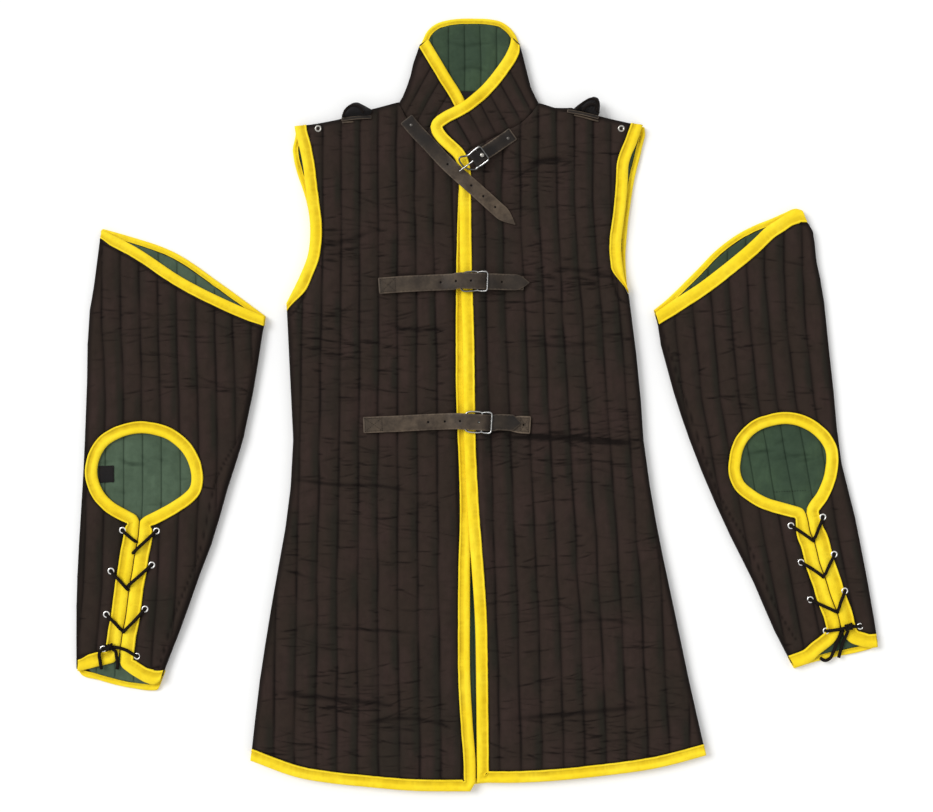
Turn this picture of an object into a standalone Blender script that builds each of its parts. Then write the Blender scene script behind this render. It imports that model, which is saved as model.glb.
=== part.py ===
"""Sleeveless quilted gambeson with its two loose sleeves, laid flat on a table.

All sizes are millimetres until solid() turns them into metres. +X is the wearer's left,
+Y points to the collar, +Z is up and the table is z = 0. Every cloth piece is a closed
wall between a lower and an upper height over one outline.
"""
import math

import bpy
import numpy as np
from mathutils import Vector
from mathutils.bvhtree import BVHTree
from mathutils.geometry import delaunay_2d_cdt

# Thicknesses
GAP = 0.3               # between pieces that touch
BODY_BACK = 8.0         # padded back
SLEEVE_BACK = 6.0
LINING = 1.0
BODY_SEAM = 5.0         # front cloth along a quilting seam
BODY_CREST = 8.4        # and on top of a channel
SLEEVE_SEAM = 3.8
SLEEVE_CREST = 6.4
COLLAR_SEAM = 4.2
COLLAR_CREST = 6.0

# Bias binding
TAPE = 18.0             # width on the outside of the cloth
TAPE_INSIDE = 9.0       # width on the lining side
TAPE_WALL = 1.3
BODY_TAPE_HEIGHT = 6.0  # folded tape with the cloth edge in it
SLEEVE_TAPE_HEIGHT = 5.2
EDGE_IN_TAPE = TAPE_WALL + GAP  # from the tape's outside to the cloth's face in it
EDGE_SET_IN = 3.5               # from the tape's fold to the cloth's edge

# Straps and buckles
STRAP_THICK = 2.4
STRAP_WIDE = 24.0       # chest and waist
NECK_STRAP_WIDE = 21.5
HOLDER_THICK = 1.8      # leather that holds the buckle
HOLDER_WIDE = 20.5
WIRE = 2.6              # buckle frame
PRONG_WIRE = 2.2

# Small things
EYELET_OUTER, EYELET_HOLE, EYELET_HIGH = 11.0, 5.0, 2.2
LACE = 4.0
TAB_WIDE = 6.0

BODY_FLOOR = BODY_BACK + LINING + 2 * GAP        # underside of the fronts
SLEEVE_FLOOR = SLEEVE_BACK + LINING + 2 * GAP    # underside of a sleeve's upper wall
OVERLAP_LIFT = BODY_TAPE_HEIGHT + GAP            # left front over right front

# Outlines, as (x, y). Right and left are the wearer's.
SHOULDER_RIGHT = [(-274, 418), (-242, 422), (-206, 429), (-158, 444), (-117, 455)]
SHOULDER_LEFT = [(92, 454), (118, 446), (142, 446), (190, 433), (238, 422)]
NECKLINE_RIGHT = [(-117, 453), (-108, 434), (-90, 410), (-63, 384), (-26, 362), (-8, 356)]
NECKLINE_LEFT = [(92, 453), (82, 438), (64, 422), (42, 410), (-10, 382), (-33, 366)]
NECKLINE_BACK = [(-117, 455), (-60, 441), (-12, 437), (40, 441), (92, 454)]
SIDE_RIGHT = [(-286, 153), (-279, 8), (-276, -52), (-280, -124), (-309, -304), (-326, -412), (-340, -534)]
SIDE_LEFT = [(230, 153), (246, 8), (250, -52), (260, -124), (303, -340), (318, -412), (344, -526)]
ARMHOLE_RIGHT = [(-274, 418), (-273, 382), (-258, 304), (-252, 262), (-252, 232), (-262, 196), (-286, 153)]
ARMHOLE_LEFT = [(238, 422), (236, 398), (226, 352), (225, 268), (222, 212), (226, 172), (230, 153)]
BACK_ARMHOLE_RIGHT = [(-282, 417), (-280, 382), (-264, 300), (-255, 262), (-253, 232), (-263, 196), (-286, 153)]
BACK_ARMHOLE_LEFT = [(250, 418), (248, 394), (238, 352), (228, 286), (224, 212), (226, 176), (230, 153)]
COLLAR_TOP = [(-86, 542), (-78, 556), (-70, 567), (-56, 578), (-10, 582), (34, 578), (46, 570), (54, 560), (62, 542)]
COLLAR_SIDE_RIGHT = [(-86, 542), (-96, 512), (-100, 494), (-106, 476), (-112, 462), (-117, 454)]
COLLAR_SIDE_LEFT = [(62, 542), (68, 530), (72, 512), (81, 476), (87, 464), (92, 454)]
# The right collar and front edge, partly under the left one
COLLAR_EDGE_RIGHT = [(-80, 544), (-66, 530), (-50, 502), (-27, 466), (-10, 434), (-4, 405), (-8, 356)]
FRONT_EDGE_RIGHT = [(-8, 356), (-9.5, 322), (-12.5, 235), (-13.8, 100), (-13.5, 20), (-11.5, -38), (-8.6, -110),
                    (-7.8, -180), (-9.6, -232), (-10.5, -320), (-10, -412), (-6, -484), (-2, -540), (-2, -566)]
HEM_RIGHT = [(-10, -580), (-98, -579), (-170, -573), (-218, -568), (-266, -560), (-340, -534)]
# The left collar and front edge, on top
COLLAR_EDGE_LEFT = [(54, 542), (46, 530), (28, 502), (6, 476), (-12, 458), (-33, 448), (-66, 432)]
COLLAR_CORNER_LEFT = [(-66, 432), (-71, 426), (-70, 418)]
FRONT_EDGE_LEFT = [(-70, 418), (-57, 394), (-33, 365), (-27, 322), (-26, 232), (-22, 92), (-21, 20),
                   (-20.3, -40), (-17.5, -110), (-14.3, -165), (-9, -232), (-4, -304), (-1, -448), (0, -567)]
HEM_LEFT = [(0, -567), (64, -567), (178, -558), (280, -543), (344, -526)]
HEM_BACK = [(-339, -531), (-266, -556), (-170, -569), (-98, -575), (-2, -571), (64, -563), (178, -554), (280, -539),
            (343, -524)]

# Quilting seams: the first seam's x and the pitch, by y
SEAM_ROWS_RIGHT = {"y": (308, 82, -292, -502), "first": (-37.5, -32.4, -27.8, -22.2), "pitch": (27.6, 28.8, 30.3, 31.4)}
SEAM_ROWS_LEFT = {"y": (308, 82, -292, -502), "first": (10.8, 15.6, 29.3, 34.0), "pitch": (27.1, 29.1, 31.0, 31.8)}

# Strong creases across the channels: two ends, depth and half width
CREASES_RIGHT = [(-240, -44, -40, -52, 2.6, 9), (-300, -430, -130, -448, 2.4, 9), (-250, 235, -150, 262, 2.0, 8)]
CREASES_LEFT = [(72, 356, 137, 368, 3.2, 8), (40, -48, 236, -58, 2.8, 9), (60, -470, 250, -452, 2.4, 9),
                (120, 205, 215, 190, 2.0, 8)]

# Closures: strap line from its sewn end to its tip, holder line, buckle place and angle
CLOSURES = {
    "neck": {"strap": [(-106, 428), (-98, 418), (-70, 388), (-43, 359), (-8, 327), (27, 296), (57, 270)],
             "holder": (54, 406), "bar": (-4.7, 364), "wide": NECK_STRAP_WIDE, "threaded": False,
             "frame": (18.0, 19.5, 3.0, -7.0)},
    "chest": {"strap": [(-147, 178), (-120, 180), (-60, 183), (-20, 184), (20, 184), (78, 183)],
              "holder": (70, 182), "bar": (1, 184.6), "wide": STRAP_WIDE, "threaded": True,
              "frame": (26.0, 14.5, 5.0, 0.0)},
    "waist": {"strap": [(-170, -30), (-120, -28), (-60, -25), (-20, -24), (20, -25), (66, -27)],
              "holder": (80, -30), "bar": (7, -26), "wide": STRAP_WIDE, "threaded": True,
              "frame": (26.0, 14.5, 6.8, 0.0)},
}
# A frame is given as: centre bar to the end of the round loop, centre bar to the square end, how much wider than
# its strap it is, and how far the round end is bent to one side.
PRONG_PAST = 3.0        # prong beyond the round end
BAR_HIGH = 3.8          # centre bar above what lies under the buckle
SQUARE_RISE = 0.20      # climb of the square end
HOLDER_ROUND = 3.6      # outside of the holder's turn round the bar
HOLDER_RETURN = 3.0     # folded back end of the holder
OVER_BAR = 7.9          # strap above what lies under the buckle, at the bar
OVER_ROUND = 5.8        # and at the round end

# Sleeves. "outer" is the edge away from the body; the hole's table runs once round its edge.
SLEEVES = {
    "right": {
        "outer": [(-568, 262), (-582, 142), (-586, 38), (-590, -68), (-602, -304), (-602, -396)],
        "inner": [(-318, 132), (-340, 20), (-375, -124), (-408, -232), (-442, -340), (-476, -414)],
        "head": [(-568, 262), (-512, 237), (-440, 190), (-368, 154), (-318, 132)],
        "head_back": [(-568, 266), (-530, 256), (-458, 231), (-386, 183), (-318, 134)],
        "cuff_outer": [(-602, -396), (-564, -390), (-543, -385)],
        "cuff_inner": [(-541.5, -382), (-532, -398), (-494, -418), (-476, -414)],
        "cuff_back": [(-602, -402), (-548, -417), (-490, -429), (-475, -416)],
        "hole": [(-503, -176), (-522, -160), (-548, -148), (-562, -132), (-568, -105), (-560, -78), (-536, -50),
                 (-505, -41), (-470, -50), (-444, -72), (-430, -98), (-430, -118), (-440, -133), (-470, -150),
                 (-492, -162), (-502, -176)],
        "slit": [(-502.5, -176), (-520, -270), (-542.5, -383)],
        "grain": {"y": (260, 98, 8, -142, -276, -380), "x": (-480, -478, -475, -475, -480, -489)},
        "laces": [((-532, -188), (-512, -232), (-481, -189)), ((-549, -249), (-524, -285), (-488, -240)),
                  ((-556, -314), (-532, -347), (-498, -306))],
        "bow": [(-561, -366), (-550, -363), (-530, -366), (-510, -377)],
        "knot": (-550, -365),
        "ends": [[(-556, -372), (-563, -382), (-565, -394), (-563, -404)],
                 [(-545, -373), (-541, -384), (-542, -396), (-548, -406)]],
    },
    "left": {
        "outer": [(489, 288), (506, 250), (514, 196), (528, 92), (536, 20), (548, -88), (579, -232), (602, -356)],
        "inner": [(268, 130), (296, 20), (320, -52), (381, -196), (417, -268), (448, -340), (468, -394)],
        "head": [(268, 130), (316, 171), (388, 228), (460, 283), (489, 288)],
        "head_back": [(268, 134), (334, 207), (406, 261), (470, 291), (489, 292)],
        "cuff_outer": [(602, -358), (574, -359), (557, -350), (549, -338)],
        "cuff_inner": [(546.5, -340), (527, -365), (500, -384), (468, -394)],
        "cuff_back": [(468, -397), (514, -388), (568, -376), (602, -364)],
        "hole": [(493, -166), (481, -158), (440, -140), (410, -122), (396, -98), (396, -76), (410, -50), (436, -33),
                 (462, -27), (496, -34), (514, -50), (524, -72), (523, -100), (512, -126), (500, -148), (494, -166)],
        "slit": [(493.5, -166), (518, -248), (547.5, -340)],
        "grain": {"y": (200, 98, 8, -142, -290, -360), "x": (432, 440, 450, 477, 504, 518)},
        "laces": [((471, -181), (504, -206), (519, -168)), ((486, -236), (521, -262), (536, -224)),
                  ((500, -292), (537, -319), (552, -279))],
        "bow": [(524, -339), (545, -336), (562, -332), (575, -332)],
        "knot": (557, -333),
        "ends": [[(553, -337.4), (549, -355), (543, -372), (536, -388)],
                 [(541, -343), (535, -357), (525, -370), (513, -374)]],
    },
}
SLEEVE_PITCH = 28.0
COLLAR_PITCH = 24.0
LINING_INSET = 13.0     # lining's edge from a seam
NECK_TAPE_TOP = 471.0
PATCH = [(-562, -91), (-534, -91), (-534, -120), (-560, -118)]   # dark square on the right sleeve's lining

SHOULDER_TIES = {
    "right": {"tab": [(-204, 427), (-159, 431)], "knot": [(-203, 431), (-196, 446), (-188, 452), (-170, 447),
                                                         (-157, 442), (-160, 434)], "high": 13.0},
    "left": {"tab": [(133, 441), (182, 430)], "knot": [(145, 443), (158, 456), (177, 463), (184, 456),
                                                      (184, 444), (183, 434)], "high": 15.0},
}
SHOULDER_EYELETS = {"right": (-238, 414), "left": (216, 414)}


# ---------------------------------------------------------------- curves in the plane

def smooth(points, step=None):
    """A curve through the points, with a point about every step; without one, the points themselves."""
    p = np.array(points, float)
    if step is None or len(p) < 3:
        return p if step is None else spaced(p, step)
    gaps = np.linalg.norm(np.diff(p, axis=0), axis=1)
    slope = np.empty_like(p)
    chords = np.diff(p, axis=0) / gaps[:, None]
    weight = gaps[1:] / (gaps[:-1] + gaps[1:])
    slope[1:-1] = chords[:-1] * weight[:, None] + chords[1:] * (1 - weight)[:, None]
    slope[0], slope[-1] = chords[0], chords[-1]
    out = []
    for i, gap in enumerate(gaps):
        t = np.linspace(0, 1, max(1, round(gap / step)), endpoint=False)[:, None]
        a, b, m, n = p[i], p[i + 1], slope[i] * gap, slope[i + 1] * gap
        out.append((2 * t**3 - 3 * t**2 + 1) * a + (t**3 - 2 * t**2 + t) * m
                   + (3 * t**2 - 2 * t**3) * b + (t**3 - t**2) * n)
    out.append(p[-1:])
    return np.concatenate(out)


def spaced(line, step):
    """The line again, with points about every step."""
    line = np.asarray(line, float)
    along = np.concatenate([[0], np.cumsum(np.linalg.norm(np.diff(line, axis=0), axis=1))])
    stops = np.linspace(0, along[-1], max(2, round(along[-1] / step) + 1))
    return np.stack([np.interp(stops, along, line[:, k]) for k in range(line.shape[1])], axis=1)


def untangled(line, guide):
    """Where the line runs back against its guide, as inside a tight bend, its points close up on one place."""
    line = line.copy()
    for _ in range(60):
        back = np.einsum("ij,ij->i", np.diff(line, axis=0), np.diff(guide, axis=0)) <= 0
        if not back.any():
            break
        i = 0
        while i < len(back):
            if not back[i]:
                i += 1
                continue
            j = i
            while j < len(back) and back[j]:
                j += 1
            first, last = max(0, i - 1), min(len(line) - 1, j + 1)
            middle = line[first:last + 1].mean(axis=0)
            ahead = guide[last] - guide[first]
            ahead /= max(np.linalg.norm(ahead), 1e-6)
            spread = np.linspace(-1, 1, last - first + 1)[:, None] * 0.4 * (last - first)
            line[first:last + 1] = middle + ahead * spread
            i = j + 1
    return line


def inset(line, distance):
    """The line moved to its left by distance, mitred at corners."""
    line = np.asarray(line, float)
    run = np.diff(line, axis=0)
    run /= np.maximum(np.linalg.norm(run, axis=1), 1e-9)[:, None]
    left = np.stack([-run[:, 1], run[:, 0]], axis=1)
    before, after = np.vstack([left[:1], left]), np.vstack([left, left[-1:]])
    turn = before + after
    mitre = turn / np.maximum((turn * turn).sum(axis=1, keepdims=True) / 2, 0.6)
    return untangled(line + mitre * distance, line)


def away(points, line):
    """Each point's distance from the line."""
    points, line = np.asarray(points, float), np.asarray(line, float)
    a, b = line[:-1], line[1:]
    run = b - a
    long = np.maximum((run * run).sum(axis=1), 1e-12)
    offset = points[:, None, :] - a[None]
    t = np.clip((offset * run[None]).sum(axis=2) / long, 0, 1)
    return np.linalg.norm(offset - t[..., None] * run[None], axis=2).min(axis=1)


def inside(points, outline):
    """Whether each point lies in the closed outline."""
    points, outline = np.asarray(points, float), np.asarray(outline, float)
    a, b = outline, np.roll(outline, -1, axis=0)
    x, y = points[:, :1], points[:, 1:]
    crosses = (a[:, 1] > y) != (b[:, 1] > y)
    rise = np.where(b[:, 1] == a[:, 1], 1e-9, b[:, 1] - a[:, 1])
    return (crosses & (x < a[:, 0] + (y - a[:, 1]) / rise * (b[:, 0] - a[:, 0]))).sum(axis=1) % 2 == 1


def ease(value, start, end):
    t = np.clip((np.asarray(value, float) - start) / (end - start), 0, 1)
    return t * t * (3 - 2 * t)


# ---------------------------------------------------------------- solids

MATERIALS = {
    "shell": ((0.030, 0.022, 0.020), 0.85, 0.0),
    "lining": ((0.055, 0.105, 0.062), 0.8, 0.0),
    "binding": ((0.90, 0.68, 0.01), 0.6, 0.0),
    "leather": ((0.040, 0.031, 0.024), 0.55, 0.0),
    "chrome": ((0.80, 0.80, 0.80), 0.2, 1.0),
    "lace": ((0.012, 0.010, 0.010), 0.8, 0.0),
}


def material(name):
    if name in bpy.data.materials:
        return bpy.data.materials[name]
    colour, rough, metal = MATERIALS[name]
    made = bpy.data.materials.new(name)
    made.use_nodes = True
    shader = made.node_tree.nodes["Principled BSDF"]
    shader.inputs["Base Color"].default_value = (*colour, 1)
    shader.inputs["Roughness"].default_value = rough
    shader.inputs["Metallic"].default_value = metal
    return made


def solid(name, points, faces, finish):
    """One closed mesh object; points in millimetres."""
    mesh = bpy.data.meshes.new(name)
    mesh.from_pydata([tuple(v) for v in np.asarray(points) * 0.001], [], [tuple(map(int, f)) for f in faces])
    mesh.materials.append(material(finish))
    mesh.shade_smooth()
    mesh.set_sharp_from_angle(angle=math.radians(50))
    thing = bpy.data.objects.new(name, mesh)
    bpy.context.scene.collection.objects.link(thing)
    return thing


def triangles(outline, inner, lines):
    """A triangulation of the outline and the points in it; its points start with the outline's."""
    count = len(outline)
    points = [Vector(p) for p in outline] + [Vector(p) for p in inner]
    ring = [(i, (i + 1) % count) for i in range(count)]
    made = delaunay_2d_cdt(points, ring + [(a + count, b + count) for a, b in lines], [], 1, 1e-6)
    places, faces, sources = made[0], made[2], made[3]
    order = [-1] * len(places)
    for index, source in enumerate(sources):
        order[index] = min(source) if source else -1
    extra = len(points)
    mapped, flat = {}, [tuple(p) for p in points]
    for index, source in enumerate(order):
        if source < 0:
            source = extra
            flat.append(tuple(places[index]))
            extra += 1
        mapped[index] = source
    flat = np.array(flat)
    out = []
    for face in faces:
        a, b, c = (mapped[i] for i in face)
        area = np.cross(flat[b] - flat[a], flat[c] - flat[a])
        if abs(area) > 1e-6:
            out.append((a, b, c) if area > 0 else (a, c, b))
    return flat, out


def sheet(name, outline, low, high, low_net, high_net, finish):
    """A wall over the outline (anticlockwise) between two height functions."""
    count = len(outline)
    top, top_faces = triangles(outline, high_net.points, high_net.edges)
    bottom, bottom_faces = triangles(outline, low_net.points, low_net.edges)
    points = np.vstack([np.column_stack([top, high(top)]), np.column_stack([bottom, low(bottom)])])
    shift = len(top)
    faces = list(top_faces) + [(a + shift, c + shift, b + shift) for a, b, c in bottom_faces]
    for i in range(count):
        j = (i + 1) % count
        faces += [(i, i + shift, j + shift), (i, j + shift, j)]
    return solid(name, points, faces, finish)


def grid_points(outline, pitch):
    low, high = outline.min(axis=0), outline.max(axis=0)
    x, y = np.meshgrid(np.arange(low[0] + pitch / 2, high[0], pitch), np.arange(low[1] + pitch / 2, high[1], pitch))
    return np.column_stack([x.ravel(), y.ravel()])


def crease_depth(points, creases):
    depth = np.zeros(len(points))
    for x1, y1, x2, y2, deep, half in creases:
        depth += deep * np.exp(-(away(points, [(x1, y1), (x2, y2)]) / half) ** 2)
    return depth


def edges_of(stretches):
    """The closed outline, and its stretches by kind. A "tape" edge goes into a binding, a "seam" is sewn to the
    layer under it and a "join" to the piece beside it."""
    lines = {"tape": [], "seam": [], "join": []}
    moved = {"tape": EDGE_SET_IN, "seam": 0.0, "join": GAP / 2}
    for kind, points in stretches:
        lines[kind].append(np.asarray(points, float))
    parts = []
    for kind, points in stretches:
        if kind != "tape" and lines["tape"]:
            points = beside_tape(points, lines["tape"])
        parts.append(inset(points, moved[kind]))
    return joined(parts), lines


def beside_tape(line, tapes):
    """The line with a point added wherever it leaves the width of a tape."""
    line = np.asarray(line, float)
    fine = spaced(line, 1)
    far = np.min([away(fine, tape) for tape in tapes], axis=0)
    along = np.concatenate([[0], np.cumsum(np.linalg.norm(np.diff(line, axis=0), axis=1))])
    fine_along = np.linspace(0, along[-1], len(fine))
    out_of_tape = fine_along[far >= EDGE_SET_IN + 0.2]
    stops = [out_of_tape[0], out_of_tape[-1]]
    for room in (TAPE_INSIDE + 1.5, TAPE + 1.2, TAPE + 8):
        stops += list(fine_along[np.nonzero(np.diff((far > room).astype(int)))[0]])
    for at in along:
        if stops[0] < at < stops[1] and np.min(np.abs(np.array(stops) - at)) > 3:
            stops.append(at)
    stops = np.sort(stops)
    return np.stack([np.interp(stops, along, line[:, k]) for k in range(2)], axis=1)


def drawn_in(stretches, room):
    """A closed outline that keeps room[kind] away from each stretch."""
    kept = []
    for i, (kind, line) in enumerate(stretches):
        moved = spaced(inset(line, room[kind]), 9)
        clear = np.ones(len(moved), bool)
        for j, (other_kind, other) in enumerate(stretches):
            clear &= away(moved, other) >= room[other_kind] - (0.5 if i == j else 0.0)
        kept.append(moved[clear])
    return lighter(joined(kept), 0.25)


def lighter(outline, tolerance):
    """The closed outline without the points that lie on a line between their neighbours."""
    points = [tuple(p) for p in outline]
    at = 0
    while at < len(points) and len(points) > 8:
        a, b, c = (np.array(points[(at + k) % len(points)]) for k in (-1, 0, 1))
        run = c - a
        off = abs(run[0] * (b - a)[1] - run[1] * (b - a)[0]) / max(np.linalg.norm(run), 1e-6)
        if off < tolerance and np.linalg.norm(run) < 60:
            points.pop(at)
        else:
            at += 1
    return np.array(points)


def level(points):
    return np.zeros(len(points))


def cloth(name, stretches, floor, seam, crest, phase, rows, seam_x, tape, creases=(), lift=level):
    """A quilted wall over a plain inside."""
    outline, lines = edges_of(stretches)
    in_tape = EDGE_IN_TAPE + (0 if lift is level else 1.0)

    def nearest(points, *kinds):
        found = [away(points, line) for kind in kinds for line in lines[kind]]
        return np.min(found, axis=0) if found else np.full(len(points), 1e3)

    def high(points):
        full = floor + seam + (crest - seam) * phase(points) - crease_depth(points, creases)
        round_edge = np.sqrt(np.clip(1 - (1 - np.clip(nearest(points, "seam", "join") / 10, 0, 1)) ** 2, 0, 1))
        full = floor + 2.0 + (full - floor - 2.0) * round_edge
        if lines["tape"]:
            thin = floor + tape - in_tape
            full = np.minimum(full, thin + (full - thin) * ease(nearest(points, "tape"), TAPE + 1, TAPE + 10))
        return full + lift(points)

    def low(points):
        open_seam = ease(nearest(points, "tape"), TAPE + 2, TAPE + 30)
        under = floor - (LINING + GAP) * (1 - ease(nearest(points, "seam"), 2, 8)) * open_seam
        if lines["tape"]:
            thin = floor + in_tape
            under = under + (thin - under) * (1 - ease(nearest(points, "tape"), TAPE + 1, TAPE + 6))
        return under + lift(points)

    def clear(tape_room, seam_room):
        return lambda p: (inside(p, outline) & (nearest(p, "tape") > tape_room)
                          & (nearest(p, "seam", "join") > seam_room))

    top, under = Net(), Net()
    for line in lines["tape"]:
        for net, distance in ((top, TAPE + 0.8), (top, TAPE + 10), (under, TAPE + 0.8)):
            net.run(inset(line, distance), clear(distance - 0.7, 2.8))
    for line in lines["seam"] + lines["join"]:
        for distance in (3.5, 10):
            top.run(spaced(inset(line, distance), 30), clear(TAPE + 1, distance - 0.8))
        under.run(spaced(inset(line, 8.5), 36), clear(TAPE + 1, 8), 3)
    for line in lines["tape"]:
        under.run(inset(line, TAPE + 6), clear(TAPE + 5.3, 2.8))
    for x1, y1, x2, y2, _, half in creases:
        line = spaced([(x1, y1), (x2, y2)], 30)
        for distance in (0, half * 1.8, -half * 1.8):
            top.run(inset(line, distance), clear(TAPE + 10, 12), 8)
    for place in seam_x["places"]:
        line = np.column_stack([seam_x["x"](place, rows), rows])
        top.run(line, clear(TAPE + 12, 13), 9, link=abs(place - round(place)) < 1e-6)
    under.run(grid_points(outline, 90), clear(30, 30), link=False)
    return sheet(name, outline, low, high, under, top, "shell")


class Net:
    """Points inside an outline, and the edges that its triangles must keep."""

    def __init__(self):
        self.points, self.edges = [], []

    def run(self, line, test, room=5.0, link=True):
        """Add the stretches of a line that pass the test, with no point nearer than room to an earlier one."""
        line = np.asarray(line, float)
        keep = test(line)
        path = []
        for i, p in enumerate(line):
            if i and link and keep[i] != keep[i - 1]:
                between = line[i - 1] + (p - line[i - 1]) * np.linspace(0, 1, 40)[:, None]
                good = between[test(between)]
                if len(good):
                    path.append((good[-1] if keep[i - 1] else good[0], True))
            path.append((p, keep[i]))
        last = None
        before = np.array(self.points)
        for p, ok in path:
            if not ok or (len(before) and np.min(np.sum((before - p) ** 2, axis=1)) < room**2):
                last = None
                continue
            if last is not None and np.linalg.norm(self.points[last] - p) < 1.0:
                continue
            self.points.append(p)
            if link and last is not None:
                self.edges.append((last, len(self.points) - 1))
            last = len(self.points) - 1


def joined(parts):
    """The stretches as one closed outline, without doubled points, running anticlockwise."""
    points = np.vstack(parts)
    kept = [points[0]]
    for p in points[1:]:
        if np.linalg.norm(p - kept[-1]) > 0.4:
            kept.append(p)
    if np.linalg.norm(kept[0] - kept[-1]) < 0.4:
        kept.pop()
    return unlooped(np.array(kept))


def unlooped(outline):
    """The closed outline without the small loops that offsets leave where two stretches meet."""
    points = list(outline)
    start = 0
    while start < len(points):
        count = len(points)
        a, b = points[start], points[(start + 1) % count]
        for ahead in range(6, 1, -1):
            c, d = points[(start + ahead) % count], points[(start + ahead + 1) % count]
            run, other = b - a, d - c
            turn = run[0] * other[1] - run[1] * other[0]
            if abs(turn) < 1e-9:
                continue
            t = ((c - a)[0] * other[1] - (c - a)[1] * other[0]) / turn
            u = ((c - a)[0] * run[1] - (c - a)[1] * run[0]) / turn
            if 0 < t < 1 and 0 < u < 1:
                drop = {(start + k) % count for k in range(1, ahead + 1)}
                points[(start + 1) % count] = a + run * t
                drop.discard((start + 1) % count)
                points = [p for k, p in enumerate(points) if k not in drop]
                break
        start += 1
    return np.array(points)


def crown(phase):
    """Height of a stuffed channel across its width, from 0 at a seam to 1."""
    return np.clip(np.abs(np.sin(np.pi * phase)), 0, 1) ** 0.5


def binding(name, edge, floor, height, wide_top, wide_low, lift=level):
    """Tape folded round a cloth edge. The edge runs with its cloth on the left."""
    edge = np.asarray(edge, float)
    wall, middle = TAPE_WALL, height / 2
    section = [(wide_top, height), (2.2, height), (0.0, middle), (2.2, 0.0), (wide_low, 0.0), (wide_low, wall),
               (wall + 1.8, wall), (wall, middle), (wall + 1.8, height - wall), (wide_top, height - wall)]
    columns = []
    widest = max(wide_top, wide_low)
    lip = inset(edge, widest)
    for across, high in section:
        place = edge + (lip - edge) * across / widest
        columns.append(np.column_stack([place, floor + high + lift(place)]))
    grid = np.array(columns)
    rings, sides = grid.shape[1], grid.shape[0]
    points = grid.transpose(1, 0, 2).reshape(-1, 3)
    faces = []
    for r in range(rings - 1):
        for s in range(sides):
            a, b = r * sides + s, r * sides + (s + 1) % sides
            faces += [(a, b, b + sides), (a, b + sides, a + sides)]
    for start, flip in ((0, False), ((rings - 1) * sides, True)):
        for tri in cap(section):
            a, b, c = (start + i for i in tri)
            faces.append((a, b, c) if flip else (a, c, b))
    return solid(name, points, faces, "binding")


def cap(section):
    """Triangles that fill a section, in its own order of corners."""
    return triangles(np.array(section), np.empty((0, 2)), [])[1]


def strip(name, line, wide, thick, slot=None, tip=0.0):
    """A leather band along (x, y, z) points, z being its underside; slot = (first, last) rows with a middle slit."""
    line = np.asarray(line, float)
    run = np.gradient(line, axis=0)
    run /= np.linalg.norm(run, axis=1)[:, None]
    flat = line[-1] - line[0]
    side = np.cross(flat / np.linalg.norm(flat), (0, 0, 1))
    side = np.tile(side / np.linalg.norm(side), (len(line), 1))
    level_run = np.linalg.norm(run[:, :2], axis=1) > 0.5
    if not slot:
        side[level_run] = np.cross(run[level_run], (0, 0, 1))
        side /= np.linalg.norm(side, axis=1)[:, None]
    up = np.cross(side, run)
    across = np.array([-0.5, -0.13, 0.13, 0.5] if slot else [-0.5, 0.5]) * wide
    half = np.ones(len(line))
    if tip:
        left = np.linalg.norm(line - line[-1], axis=1)
        half = 0.12 + 0.88 * np.clip(left / tip, 0, 1) ** 0.7
    low = np.array([[p + s * a * h for a in across] for p, s, h in zip(line, side, half)])
    high = low + up[:, None, :] * thick
    rows, columns = low.shape[:2]
    shift = rows * columns
    cells = {(r, c) for r in range(rows - 1) for c in range(columns - 1)
             if not (slot and c == 1 and slot[0] <= r < slot[1])}
    faces = []
    for r, c in sorted(cells):
        a, b = r * columns + c, r * columns + c + 1
        d, e = a + columns, b + columns
        faces += [(a, e, b), (a, d, e), (a + shift, b + shift, e + shift), (a + shift, e + shift, d + shift)]
        for beside, first, second in (((r - 1, c), a, b), ((r + 1, c), e, d), ((r, c - 1), d, a), ((r, c + 1), b, e)):
            if beside not in cells:
                faces += [(first, second, second + shift), (first, second + shift, first + shift)]
    return solid(name, np.vstack([low.reshape(-1, 3), high.reshape(-1, 3)]), faces, "leather")


def wire(name, line, wide, finish, closed=False, sides=8):
    """A round wire along (x, y, z) points, as a mesh that Booleans can join; wide may change along it."""
    line = np.asarray(line, float)
    wide = np.broadcast_to(wide, len(line))
    count = len(line)
    ahead = np.roll(line, -1, axis=0) - np.roll(line, 1, axis=0) if closed else np.gradient(line, axis=0)
    ahead /= np.linalg.norm(ahead, axis=1)[:, None]
    side = np.cross(ahead, (0, 0, 1))
    side /= np.maximum(np.linalg.norm(side, axis=1), 1e-9)[:, None]
    up = np.cross(side, ahead)
    angles = np.linspace(0, 2 * math.pi, sides, endpoint=False)
    points = [p + (s * math.cos(a) + u * math.sin(a)) * w / 2
              for p, s, u, w in zip(line, side, up, wide) for a in angles]
    faces = []
    for r in range(count if closed else count - 1):
        for k in range(sides):
            a, b = r * sides + k, r * sides + (k + 1) % sides
            c, d = ((r + 1) % count) * sides + k, ((r + 1) % count) * sides + (k + 1) % sides
            faces += [(a, b, d), (a, d, c)]
    if not closed:
        last = (count - 1) * sides
        faces += [(0, k + 1, k) for k in range(1, sides - 1)]
        faces += [(last, last + k, last + k + 1) for k in range(1, sides - 1)]
    return solid(name, points, faces, finish)


def fuse(thing, others):
    """Join other meshes to this one; they stay in the scene as hidden helpers."""
    for other in others:
        other.hide_render = True
        other.display_type = "WIRE"
        join = thing.modifiers.new("join " + other.name, "BOOLEAN")
        join.operation = "UNION"
        join.solver = "EXACT"
        join.object = other
    return thing


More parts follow.
